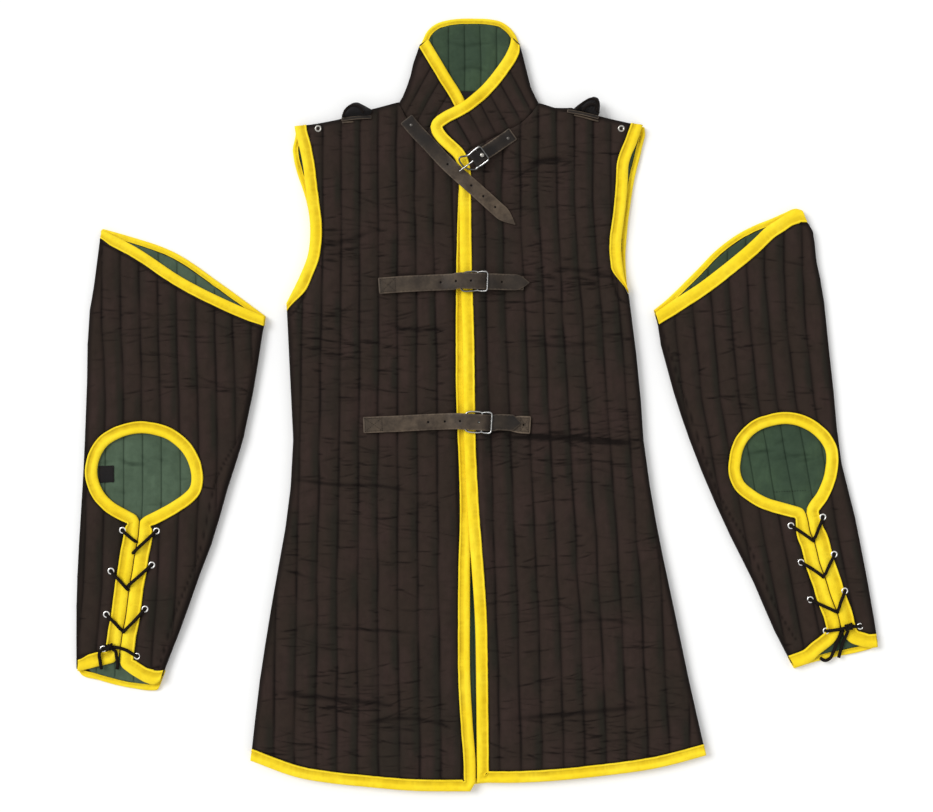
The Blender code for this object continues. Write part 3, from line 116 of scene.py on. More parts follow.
def smoothLine(points, step):
    p = np.array(points, float)
    if len(p) < 3:
        return evenLine(p, step)
    gaps = np.linalg.norm(np.diff(p, axis=0), axis=1)
    chords = np.diff(p, axis=0) / gaps[:, None]
    weight = gaps[1:] / (gaps[:-1] + gaps[1:])
    slope = np.empty_like(p)
    slope[1:-1] = chords[:-1] * weight[:, None] + chords[1:] * (1 - weight)[:, None]
    slope[0], slope[-1] = chords[0], chords[-1]
    out = []
    for i, gap in enumerate(gaps):
        t = np.linspace(0, 1, max(1, round(gap / step)), endpoint=False)[:, None]
        a, b, m, n = p[i], p[i + 1], slope[i] * gap, slope[i + 1] * gap
        out.append((2 * t**3 - 3 * t**2 + 1) * a + (t**3 - 2 * t**2 + t) * m
                   + (3 * t**2 - 2 * t**3) * b + (t**3 - t**2) * n)
    out.append(p[-1:])
    return np.concatenate(out)


def untangle(line, guide):  # inside a tight bend the points close up on one place
    line = line.copy()
    for _ in range(60):
        back = np.einsum("ij,ij->i", np.diff(line, axis=0), np.diff(guide, axis=0)) <= 0
        if not back.any():
            break
        i = 0
        while i < len(back):
            if not back[i]:
                i += 1
                continue
            j = i
            while j < len(back) and back[j]:
                j += 1
            first, last = max(0, i - 1), min(len(line) - 1, j + 1)
            ahead = guide[last] - guide[first]
            ahead /= max(np.linalg.norm(ahead), 1e-6)
            spread = np.linspace(-1, 1, last - first + 1)[:, None] * 0.2 * (last - first)
            line[first:last + 1] = line[first:last + 1].mean(axis=0) + ahead * spread
            i = j + 1
    return line


def offsetLine(line, distance):  # to the left of the way it runs
    line = np.asarray(line, float)
    run = np.diff(line, axis=0)
    run /= np.maximum(np.linalg.norm(run, axis=1), 1e-9)[:, None]
    left = np.stack([-run[:, 1], run[:, 0]], axis=1)
    turn = np.vstack([left[:1], left]) + np.vstack([left, left[-1:]])
    mitre = turn / np.maximum((turn * turn).sum(axis=1, keepdims=True) / 2, 0.6)
    return untangle(line + mitre * distance, line)


def distanceTo(points, line):
    points, line = np.asarray(points, float), np.asarray(line, float)
    best = np.full(len(points), 1e12)
    for a, b in zip(line[:-1], line[1:]):
        run = b - a
        t = np.clip(((points - a) @ run) / max(run @ run, 1e-12), 0, 1)
        off = points - a - t[:, None] * run
        np.minimum(best, (off * off).sum(axis=1), out=best)
    return np.sqrt(best)


def insideOutline(points, outline):
    x, y = points[:, 0], points[:, 1]
    odd = np.zeros(len(points), bool)
    for a, b in zip(outline, np.roll(outline, -1, axis=0)):
        if a[1] != b[1]:
            crosses = (a[1] > y) != (b[1] > y)
            odd ^= crosses & (x < a[0] + (y - a[1]) / (b[1] - a[1]) * (b[0] - a[0]))
    return odd


def closedLine(outline):
    return np.vstack([outline, outline[:1]])


def twiceArea(outline):  # negative when the outline runs clockwise
    ahead = np.roll(outline, -1, axis=0)
    return np.sum(outline[:, 0] * ahead[:, 1] - ahead[:, 0] * outline[:, 1])


def nearestTo(line, spot):
    return int(np.argmin(np.linalg.norm(line - spot, axis=1)))


def gridInside(outline, step, room):  # a square grid that keeps some room from the edge
    low, high = outline.min(axis=0), outline.max(axis=0)
    x, y = np.meshgrid(np.arange(low[0], high[0], step), np.arange(low[1], high[1], step))
    spots = np.column_stack([x.ravel(), y.ravel()])
    spots = spots[insideOutline(spots, outline)]
    return spots[distanceTo(spots, closedLine(outline)) > room]


def channelPoints(outline, seamX, numbers, parts, step, room):  # columns of points along the quilted channels
    rows = np.arange(outline[:, 1].min(), outline[:, 1].max(), step)
    spots = np.vstack([np.column_stack([seamX(number + part, rows), rows]) for number
                       in numbers for part in parts])
    spots = spots[insideOutline(spots, outline)]
    return spots[distanceTo(spots, closedLine(outline)) > room]


def ease(value, start, end):
    t = np.clip((np.asarray(value, float) - start) / (end - start), 0, 1)
    return t * t * (3 - 2 * t)


def joinStretches(parts):
    points = np.vstack(parts)
    kept = [points[0]]
    for p in points[1:]:
        if np.linalg.norm(p - kept[-1]) > 0.4:
            kept.append(p)
    if np.linalg.norm(kept[0] - kept[-1]) < 0.4:
        kept.pop()
    start = 0
    while start < len(kept):  # cut off the small loops where two stretches meet
        count = len(kept)
        a, b = kept[start], kept[(start + 1) % count]
        for ahead in range(8, 1, -1):
            c, d = kept[(start + ahead) % count], kept[(start + ahead + 1) % count]
            run, other = b - a, d - c
            turn = run[0] * other[1] - run[1] * other[0]
            if abs(turn) < 1e-9:
                continue
            t = ((c - a)[0] * other[1] - (c - a)[1] * other[0]) / turn
            u = ((c - a)[0] * run[1] - (c - a)[1] * run[0]) / turn
            if 0 < t < 1 and 0 < u < 1:
                drop = {(start + k) % count for k in range(2, ahead + 1)}
                kept[(start + 1) % count] = a + run * t
                kept = [p for k, p in enumerate(kept) if k not in drop]
                break
        start += 1
    return np.array(kept)


def wander(along, step, seed):  # soft noise along a line, about -1 to 1
    knots = np.random.default_rng(seed).uniform(-1, 1, int(max(along.max(), 1) / step) + 3)
    at = along / step
    i = np.floor(at).astype(int)
    t = at - i
    t = t * t * (3 - 2 * t)
    return knots[i] * (1 - t) + knots[i + 1] * t


def cloudy(points, cellX, cellY, seed):  # soft noise over the plane, about -1 to 1
    knots = np.random.default_rng(seed).uniform(-1, 1, (97, 89))
    at = np.asarray(points, float) / (cellX, cellY)
    i = np.floor(at).astype(int)
    t = at - i
    t = t * t * (3 - 2 * t)
    a, b, c, d = i[:, 0] % 97, (i[:, 0] + 1) % 97, i[:, 1] % 89, (i[:, 1] + 1) % 89
    low = knots[a, c] * (1 - t[:, 0]) + knots[b, c] * t[:, 0]
    high = knots[a, d] * (1 - t[:, 0]) + knots[b, d] * t[:, 0]
    return low * (1 - t[:, 1]) + high * t[:, 1]


# Material groups

def shaderGroup(name, inputs, outputs):
    tree = bpy.data.node_groups.new(name, "ShaderNodeTree")
    for label, value in inputs.items():
        socket = tree.interface.new_socket(name=label, in_out="INPUT", socket_type="NodeSocketFloat")
        socket.default_value = value
    for label in outputs:
        tree.interface.new_socket(name=label, in_out="OUTPUT", socket_type="NodeSocketFloat")
    return tree, tree.nodes.new("NodeGroupInput"), tree.nodes.new("NodeGroupOutput")


def addNode(tree, kind, links=(), **settings):  # links: input socket -> output socket or value
    node = tree.nodes.new(kind)
    for key, value in settings.items():
        setattr(node, key, value)
    for key, value in dict(links).items():
        if isinstance(value, bpy.types.NodeSocket):
            tree.links.new(value, node.inputs[key])
        else:
            node.inputs[key].default_value = value
    return node


def mathNode(tree, operation, a, b=0.0, clamp=False):
    return addNode(tree, "ShaderNodeMath", {0: a, 1: b}, operation=operation, use_clamp=clamp).outputs[0]


def objectPlace(tree):
    return addNode(tree, "ShaderNodeTexCoord").outputs["Object"]


def duskOf(tree):
    return addNode(tree, "ShaderNodeAttribute", attribute_name="dusk").outputs["Fac"]


def makeWeave():  # twill threads on Object coordinates; Pitch in metres
    tree, given, out = shaderGroup("twillWeave", {"Pitch": 0.0006, "Fuzz": 0.4}, ["Height", "Slub"])
    place = objectPlace(tree)
    apart = addNode(tree, "ShaderNodeSeparateXYZ", {0: place})
    turns = mathNode(tree, "DIVIDE", 6.2832, given.outputs["Pitch"])
    slant = mathNode(tree, "ADD", apart.outputs["X"], mathNode(tree, "MULTIPLY", apart.outputs["Y"], 0.55))
    ribs = mathNode(tree, "SINE", mathNode(tree, "MULTIPLY", slant, turns))
    weft = mathNode(tree, "SINE", mathNode(tree, "MULTIPLY", apart.outputs["Y"], turns))
    fuzz = addNode(tree, "ShaderNodeTexNoise", {"Vector": place, "Scale": 900.0, "Detail": 2.0}).outputs[0]
    woven = mathNode(tree, "ADD", mathNode(tree, "MULTIPLY", ribs, 0.30),
                     mathNode(tree, "MULTIPLY", weft, 0.16))
    rough = mathNode(tree, "MULTIPLY", mathNode(tree, "SUBTRACT", fuzz, 0.5), given.outputs["Fuzz"])
    tree.links.new(mathNode(tree, "ADD", mathNode(tree, "ADD", woven, rough), 0.5), out.inputs["Height"])
    long = addNode(tree, "ShaderNodeMapping", {"Vector": place, "Scale": (160.0, 16.0, 60.0)})
    slub = addNode(tree, "ShaderNodeTexNoise",
                   {"Vector": long.outputs[0], "Scale": 1.0, "Detail": 3.0}).outputs[0]
    tree.links.new(slub, out.inputs["Slub"])
    return tree


def makeFade():  # uneven dye and handling, in clouds of two sizes
    tree, given, out = shaderGroup("fadedDye", {"Large": 16.0, "Small": 60.0}, ["Cloud", "Speck"])
    place = objectPlace(tree)
    large = addNode(tree, "ShaderNodeTexNoise",
                    {"Vector": place, "Scale": given.outputs["Large"], "Detail": 4.0})
    small = addNode(tree, "ShaderNodeTexNoise",
                    {"Vector": place, "Scale": given.outputs["Small"], "Detail": 5.0,
                     "Roughness": 0.65})
    tree.links.new(large.outputs[0], out.inputs["Cloud"])
    tree.links.new(small.outputs[0], out.inputs["Speck"])
    return tree


def makeGrain():  # leather pores and creases
    tree, given, out = shaderGroup("leatherGrain", {"Pores": 900.0, "Creases": 120.0}, ["Height", "Scuff"])
    place = objectPlace(tree)
    pores = addNode(tree, "ShaderNodeTexVoronoi", {"Vector": place, "Scale": given.outputs["Pores"]})
    folds = addNode(tree, "ShaderNodeTexNoise",
                    {"Vector": place, "Scale": given.outputs["Creases"], "Detail": 6.0})
    height = mathNode(tree, "ADD", mathNode(tree, "MULTIPLY", pores.outputs["Distance"], 0.45),
                      mathNode(tree, "MULTIPLY", folds.outputs[0], 0.8))
    tree.links.new(height, out.inputs["Height"])
    scuff = addNode(tree, "ShaderNodeTexNoise",
                    {"Vector": place, "Scale": 42.0, "Detail": 7.0, "Roughness": 0.7})
    tree.links.new(scuff.outputs[0], out.inputs["Scuff"])
    return tree


def mixColour(tree, factor, a, b):
    node = addNode(tree, "ShaderNodeMix", data_type="RGBA")
    for index, value in ((0, factor), (6, a), (7, b)):
        if isinstance(value, bpy.types.NodeSocket):
            tree.links.new(value, node.inputs[index])
        else:
            node.inputs[index].default_value = value if index == 0 else (*value, 1)
    return node.outputs[2]


def rampOf(tree, value, low, high):  # 0 below low, 1 above high
    return addNode(tree, "ShaderNodeMapRange", {"Value": value, "From Min": low, "From Max": high}).outputs[0]


def bumpOf(tree, height, metres, strength=1.0, before=None):
    links = {"Height": height, "Distance": metres, "Strength": strength}
    if before is not None:
        links["Normal"] = before
    return addNode(tree, "ShaderNodeBump", links).outputs[0]


def newMaterial(name, **constant):
    made = bpy.data.materials.new(name)
    made.use_nodes = True
    shader = made.node_tree.nodes["Principled BSDF"]
    for label, value in constant.items():
        shader.inputs[label.replace("_", " ")].default_value = value
    return made, made.node_tree, shader


# fold is the dark tone of painted shade in seams, creases, grooves, beside the bindings and on undersides,
# and of random darker specks; dusk is the dark tone of painted shade on the right flank of each quilted
# channel, and of random patches
finishes = {
    "shell": {"crest": (0.0332, 0.0204, 0.0168), "cool": (0.0272, 0.0182, 0.0136),
              "fold": (0.0056, 0.0033, 0.0026),
              "dusk": (0.0150, 0.0146, 0.0102), "rough": 0.92, "thread": 0.0007},
    "lining": {"crest": (0.0500, 0.0830, 0.0470), "cool": (0.0380, 0.0630, 0.0390),
               "fold": (0.008, 0.016, 0.009),
               "dusk": (0.022, 0.042, 0.026), "rough": 0.9, "thread": 0.0006},
    # a paler, lit copy of the lining: painted light
    "litLining": {"crest": (0.0800, 0.1210, 0.0780), "cool": (0.0640, 0.0980, 0.0630),
                   "fold": (0.012, 0.022, 0.013),
                   "dusk": (0.030, 0.052, 0.033), "rough": 0.9, "thread": 0.0006},
    "binding": {"crest": (0.97, 0.745, 0.030), "cool": (0.93, 0.68, 0.016), "fold": (0.48, 0.30, 0.002),
                "dusk": (0.70, 0.48, 0.01), "rough": 0.75, "thread": 0.0005},
    "neckTape": {"crest": (0.015, 0.013, 0.013), "cool": (0.012, 0.011, 0.012), "fold": (0.004, 0.004, 0.004),
                 "dusk": (0.008, 0.008, 0.008), "rough": 0.9, "thread": 0.0009},
}
# edge is the lighter tone of worn edges; dusk is the dark tone of the darker stretches of a strap, painted
# shade where a strap dips past its buckle
leatherFinish = {"body": (0.044, 0.031, 0.021), "scuffed": (0.118, 0.086, 0.058),
                 "edge": (0.18, 0.135, 0.095),
                 "dusk": (0.0085, 0.0065, 0.0055)}


def clothMaterial(name, weave, fade):
    finish = finishes[name]
    made, tree, shader = newMaterial(name + "Cloth", Roughness=finish["rough"], Sheen_Weight=0.02,
                                     Sheen_Roughness=0.5, Specular_IOR_Level=0.12)
    threads = addNode(tree, "ShaderNodeGroup", node_tree=weave)
    threads.inputs["Pitch"].default_value = finish["thread"]
    dye = addNode(tree, "ShaderNodeGroup", node_tree=fade)
    fold = addNode(tree, "ShaderNodeAttribute", attribute_name="fold").outputs["Fac"]
    tone = mixColour(tree, rampOf(tree, dye.outputs["Cloud"], 0.38, 0.62), finish["cool"], finish["crest"])
    slub = mathNode(tree, "MULTIPLY", rampOf(tree, threads.outputs["Slub"], 0.46, 0.66), 0.55)
    tone = mixColour(tree, slub, tone, finish["cool"])
    # painted shade on the right of each channel, with random patches
    dusk = duskOf(tree)
    tone = mixColour(tree, mathNode(tree, "MULTIPLY", dusk, 0.75), tone, finish["dusk"])
    speck = mathNode(tree, "MULTIPLY", rampOf(tree, dye.outputs["Speck"], 0.60, 0.36), 0.22)
    # painted shade from the fold attribute, and random darker specks
    tone = mixColour(tree, mathNode(tree, "MAXIMUM", speck, fold, True), tone, finish["fold"])
    tree.links.new(tone, shader.inputs["Base Color"])
    normal = bumpOf(tree, dye.outputs["Speck"], 0.0012, 0.5)
    normal = bumpOf(tree, threads.outputs["Height"], 0.00016, 0.55, normal)
    tree.links.new(normal, shader.inputs["Normal"])
    return made


def leatherMaterial(grain):
    made, tree, shader = newMaterial("strapLeather", Roughness=0.46, Specular_IOR_Level=0.20)
    skin = addNode(tree, "ShaderNodeGroup", node_tree=grain)
    edge = addNode(tree, "ShaderNodeAttribute", attribute_name="fold").outputs["Fac"]
    tone = mixColour(tree, rampOf(tree, skin.outputs["Scuff"], 0.40, 0.72), leatherFinish["body"],
                     leatherFinish["scuffed"])
    worn = mathNode(tree, "MULTIPLY", edge, rampOf(tree, skin.outputs["Scuff"], 0.25, 0.6), True)
    # darker stretches of the band; past a buckle this is painted shade
    dusk = duskOf(tree)
    tone = mixColour(tree, dusk, tone, leatherFinish["dusk"])
    tree.links.new(mixColour(tree, worn, tone, leatherFinish["edge"]), shader.inputs["Base Color"])
    tree.links.new(rampOf(tree, skin.outputs["Scuff"], -0.9, 1.6), shader.inputs["Roughness"])
    tree.links.new(bumpOf(tree, skin.outputs["Height"], 0.0005, 0.5), shader.inputs["Normal"])
    return made


def chromeMaterial(name, colour, rough):
    made, tree, shader = newMaterial(name, Metallic=1.0)
    # dusk darkens the metal towards nearly black where it is given
    dusk = duskOf(tree)
    tree.links.new(mixColour(tree, dusk, colour, (0.016, 0.014, 0.012)), shader.inputs["Base Color"])
    place = objectPlace(tree)
    marks = addNode(tree, "ShaderNodeTexNoise", {"Vector": place, "Scale": 260.0, "Detail": 5.0}).outputs[0]
    tree.links.new(addNode(tree, "ShaderNodeMapRange", {"Value": marks, "From Min": 0.3, "From Max": 0.75,
                                                        "To Min": rough, "To Max": rough + 0.2}).outputs[0],
                   shader.inputs["Roughness"])
    tree.links.new(bumpOf(tree, marks, 0.00012, 0.4), shader.inputs["Normal"])
    return made


def cordMaterial(name, dark, light, turns, along):  # braid on the tube's own map: u along, v round
    made, tree, shader = newMaterial(name, Roughness=0.85, Sheen_Weight=0.0, Specular_IOR_Level=0.12)
    place = addNode(tree, "ShaderNodeUVMap", uv_map="UVMap").outputs[0]
    apart = addNode(tree, "ShaderNodeSeparateXYZ", {0: place})
    run = mathNode(tree, "MULTIPLY", apart.outputs["X"], along)
    round = mathNode(tree, "MULTIPLY", apart.outputs["Y"], 6.2832 * turns)
    one = mathNode(tree, "SINE", mathNode(tree, "ADD", run, round))
    two = mathNode(tree, "SINE", mathNode(tree, "SUBTRACT", run, round))
    braid = mathNode(tree, "MULTIPLY", mathNode(tree, "MAXIMUM", one, two), 0.5)
    tree.links.new(mixColour(tree, rampOf(tree, braid, -0.2, 0.5), dark, light), shader.inputs["Base Color"])
    tree.links.new(bumpOf(tree, braid, 0.0004, 0.8), shader.inputs["Normal"])
    return made


weave, fade, grain = makeWeave(), makeFade(), makeGrain()
shellCloth, liningCloth, litLiningCloth, bindingCloth, neckTapeCloth = (
    clothMaterial(name, weave, fade) for name in ("shell", "lining", "litLining", "binding", "neckTape"))
strapLeather = leatherMaterial(grain)
brightChrome = chromeMaterial("brightChrome", (0.44, 0.44, 0.43), 0.12)
dullNickel = chromeMaterial("dullNickel", (0.46, 0.44, 0.40), 0.24)
paleNickel = chromeMaterial("paleNickel", (0.86, 0.85, 0.82), 0.22)
gunMetal = chromeMaterial("gunMetal", (0.13, 0.12, 0.11), 0.34)
laceBraid = cordMaterial("laceBraid", (0.0035, 0.0026, 0.0022), (0.011, 0.0072, 0.0060), 3, 2400.0)
seamThread = cordMaterial("seamThread", (0.006, 0.005, 0.005), (0.022, 0.017, 0.016), 1, 5000.0)
tapeThread = cordMaterial("tapeThread", (0.66, 0.46, 0.01), (0.95, 0.72, 0.05), 1, 5000.0)
strapThread = cordMaterial("strapThread", (0.010, 0.008, 0.006), (0.034, 0.027, 0.020), 1, 5000.0)
print("materials made:", len(bpy.data.materials))


# Meshes

def outward(points, faces):  # a closed shell with its faces turned out
    a, b, c = (np.asarray(points, float)[faces[:, k]] for k in range(3))
    return faces[:, ::-1] if np.einsum("ij,ij->i", a, np.cross(b, c)).sum() < 0 else faces


def joinShells(shells):
    points, faces, start = [], [], 0
    for shellPoints, shellFaces in shells:
        points.append(shellPoints)
        faces.append(outward(shellPoints, shellFaces) + start)
        start += len(shellPoints)
    return np.vstack(points), np.vstack(faces)


def putMesh(name, points, faces, material, fold=None, uv=None, sharp=None, dusk=None):
    name += "_piece"
    mesh = bpy.data.meshes.new(name)
    points = np.asarray(points, float).copy()
    points[:, :2] += tableShift
    mesh.from_pydata((points * 0.001).tolist(), [], [tuple(map(int, f)) for f in faces])
    mesh.materials.append(material)
    mesh.shade_smooth()
    if sharp:
        mesh.set_sharp_from_angle(angle=math.radians(sharp))
    for label, values in (("fold", fold), ("dusk", dusk)):
        if values is not None:
            mesh.attributes.new(label, "FLOAT",
                                "POINT").data.foreach_set("value", np.asarray(values, np.float32))
    if uv is not None:
        corner = np.empty(len(mesh.loops), int)
        mesh.loops.foreach_get("vertex_index", corner)
        mesh.uv_layers.new(name="UVMap").data.foreach_set("uv", np.asarray(uv, np.float32)[corner].ravel())
    piece = bpy.data.objects.new(name, mesh)
    bpy.context.scene.collection.objects.link(piece)
    return piece


def dress(piece, slot, *nodes):
    if nodes:
        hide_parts(*nodes)
    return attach(piece, "root")


def triangulate(outline, inner, holes=()):
    loops = [np.asarray(outline, float), *holes]
    points, ring = [], []
    for loop in loops:
        start = len(points)
        points += [Vector(p) for p in loop]
        ring += [(start + i, start + (i + 1) % len(loop)) for i in range(len(loop))]
    rim = len(points)
    points += [Vector(p) for p in inner]
    made = delaunay_2d_cdt(points, ring, [], 1, 1e-6)
    places, faces, sources = np.array([tuple(p) for p in made[0]]), made[2], made[3]
    order = np.array([min(source) if source else -1 for source in sources])
    extra = np.nonzero(order < 0)[0]
    flat = np.vstack([np.array([tuple(p) for p in points]), places[extra]])
    order[extra] = len(points) + np.arange(len(extra))
    tri = order[np.array(faces)]
    a, b, c = flat[tri[:, 0]], flat[tri[:, 1]], flat[tri[:, 2]]
    area = (b - a)[:, 0] * (c - a)[:, 1] - (b - a)[:, 1] * (c - a)[:, 0]
    tri[area < 0] = tri[area < 0][:, [0, 2, 1]]
    tri = tri[np.abs(area) > 1e-7]
    for hole in holes:
        tri = tri[~insideOutline(flat[tri].mean(axis=1), hole)]
    return flat, tri, ring, rim


def wallBetween(name, outline, lowInner, highInner, lowAt, highAt, material, foldAt=None,
                foldLow=None, duskAt=None):
    top, topFaces, ring, _ = triangulate(outline, highInner)
    under, underFaces, _, _ = triangulate(outline, lowInner)
    points = np.vstack([np.column_stack([top, highAt(top)]), np.column_stack([under, lowAt(under)])])
    shift = len(top)
    a, b = np.array(ring).T
    sides = np.vstack([np.column_stack([a, a + shift, b + shift]), np.column_stack([a, b + shift, b])])
    faces = np.vstack([topFaces, underFaces[:, [0, 2, 1]] + shift, sides])
    # an underside without its own shade takes a fixed 0.3 of painted shade
    fold = np.concatenate([foldAt(top) if foldAt else np.zeros(len(top)),
                           foldLow(under) if foldLow else np.full(len(under), 0.3)])
    dusk = None if duskAt is None else np.concatenate([duskAt(top), np.zeros(len(under))])
    return putMesh(name, points, faces, material, fold, dusk=dusk)


# Quilting

def channelsOf(rows, side):  # place counts the channels from the first seam
    y = np.array(rows["y"], float)[::-1]
    first, pitch = np.array(rows["first"], float)[::-1], np.array(rows["pitch"], float)[::-1]
    lean, sway = rows.get("lean", 0.0), rows.get("sway", 0.042)

    def place(points):
        even = side * (points[:, 0] + lean * points[:, 1] - np.interp(points[:, 1], y, first)) \
            / np.interp(points[:, 1], y, pitch)
        return even + sway * cloudy(points, 31, 64, 5)

    def seamX(number, at):
        at = np.atleast_1d(np.asarray(at, float))
        x = np.interp(at, y, first) + side * number * np.interp(at, y, pitch) - lean * at
        x = x - side * np.interp(at, y, pitch) * sway * cloudy(np.column_stack([x, at]), 31, 64, 5)
        return x if len(x) > 1 else float(x[0])

    return place, seamX, side


creaseKinds = {"crossing": 0.45, "inZones": 0.42, "tick": (8, 26, 0.4, 1.2), "crossed": (0.6, 1.5),
               "half": (0.8, 1.5)}


def puckers(rng, count, outline, seamX, numbers, zones, strength=1.0):
    # folds drawn in by the stitching: short ones from a seam, and rows that cross one to four channels
    low, high = outline.min(axis=0), outline.max(axis=0)
    shortest, longest, shallow, deepest = creaseKinds["tick"]
    found = []
    for _ in range(count * 8):
        if len(found) >= count:
            break
        y = rng.uniform(low[1], high[1])
        number = rng.integers(*numbers)
        if zones and rng.random() < creaseKinds["inZones"]:
            zx, zy, hx, hy, share = zones[rng.integers(len(zones))]
            y = zy + rng.normal(0, 0.5) * hy
            if abs(seamX(number, y) - zx) > hx or rng.random() > share:
                continue
        if rng.random() > creaseKinds["crossing"]:
            side, run = rng.choice((-1, 1)), rng.uniform(shortest, longest)
            x = seamX(number, y) + side * run * rng.uniform(0.1, 0.5)
            found.append((x, y, rng.normal(0, 0.17), run, rng.uniform(shallow, deepest),
                          rng.uniform(*creaseKinds["half"])))
            continue
        drift, deep = rng.normal(0, 0.10), rng.uniform(*creaseKinds["crossed"])
        for k in range(rng.integers(1, 5)):
            here, there = seamX(number + k, y), seamX(number + k + 1, y)
            turn = drift + rng.normal(0, 0.12)
            side = 1 if there > here else -1
            run = abs(there - here) * rng.uniform(0.75, 1.35)
            found.append(((here + there) / 2 + rng.normal(0, 3), y + rng.normal(0, 0.7), turn * side, run,
                          deep * rng.uniform(0.5, 1.1), rng.uniform(*creaseKinds["half"])))
            y += math.tan(turn) * abs(there - here) + rng.normal(0, 0.8)
    places = np.array(found)
    places[:, 4] *= strength
    return places[insideOutline(places[:, :2], outline)]


def creaseDepth(points, creases):
    depth, lips = np.zeros(len(points)), np.zeros(len(points))
    order = np.argsort(points[:, 1])
    sortedY = points[order, 1]
    for x, y, angle, run, deep, half in creases:
        reach = 5 * half + abs(math.sin(angle)) * run
        near = order[np.searchsorted(sortedY, y - reach):np.searchsorted(sortedY, y + reach)]
        dx, dy = points[near, 0] - x, points[near, 1] - y
        along = (dx * math.cos(angle) + dy * math.sin(angle)) / (run / 2)
        bow = 0.6 * half * along**2
        across = (dy * math.cos(angle) - dx * math.sin(angle) - bow) / half
        fade = np.clip(1 - along**2, 0, 1) ** 1.3
        depth[near] += deep * fade * np.exp(-across**2)
        lips[near] += deep * 0.42 * fade * np.exp(-((np.abs(across) - 2.1) / 1.1) ** 2)
    return depth, lips


def lineCreases(points, lines):  # listed creases: (points of the line, depth, half width)
    depth, lips = np.zeros(len(points)), np.zeros(len(points))
    for line, deep, half in lines:
        line = smoothLine(line, 8)
        far = distanceTo(points, line)
        ends = np.minimum(np.linalg.norm(points - line[0], axis=1), np.linalg.norm(points - line[-1], axis=1))
        fade = 0.35 + 0.65 * ease(ends, 0, 26)
        depth += deep * fade * np.exp(-(far / half) ** 2)
        lips += deep * 0.35 * fade * np.exp(-((far - 2.4 * half) / (1.2 * half)) ** 2)
    return depth, lips


def edgesOf(stretches):
    lines = {"tape": [], "seam": [], "join": []}
    for kind, points in stretches:
        lines[kind].append(evenLine(points, 9))
    parts = []
    for kind, points in stretches:
        if kind == "tape":
            parts.append(offsetLine(points, tape["edgeIn"]))
            continue
        fine = evenLine(points, 3.2)
        if lines["tape"]:
            clear = np.min([distanceTo(fine, line) for line in lines["tape"]], axis=0) > tape["edgeIn"] + 0.2
            fine = fine[clear]
        parts.append(offsetLine(fine, 0.15 if kind == "join" else 0.0))
    return joinStretches(parts), lines


def nearestOf(points, lines, *kinds):
    found = [distanceTo(points, line) for kind in kinds for line in lines[kind]]
    return np.min(found, axis=0) if found else np.full(len(points), 1e3)


def level(points):
    return np.zeros(len(points))


def edgeRings(lines, kinds, distances, step, test):
    out = []
    for kind in kinds:
        for line in lines[kind]:
            for distance in distances:
                ring = evenLine(offsetLine(line, distance), step)
                out.append(ring[test(ring, distance)])
    return np.vstack(out) if out else np.empty((0, 2))


def layFlat(piece, outline, takeUp=1.04):  # keeps the width, length and area of a cloth's cut, from its outline, in sheets
    wide, long = np.ptp(outline, axis=0) * 0.001 * takeUp
    area = abs(twiceArea(outline)) / 2e6 * takeUp**2
    sheets.append((piece, (wide, long), area))


def stitchSeams(high, lines, outline, seamX, numbers):
    closed = closedLine(outline)
    rows = np.arange(outline[:, 1].min(), outline[:, 1].max(), 3.0)
    for number in range(*numbers):
        line = np.column_stack([seamX(number, rows), rows])
        good = insideOutline(line, outline) & (distanceTo(line, closed) > 3)
        good &= nearestOf(line, lines, "tape") > tape["wide"] + 1
        line = np.column_stack([line, high(line) + 0.1])
        for run in np.split(np.arange(len(line)), np.nonzero(np.diff(good.astype(int)))[0] + 1):
            if len(run) > 3 and good[run[0]]:
                stitchLines["quilt"].append(line[run])


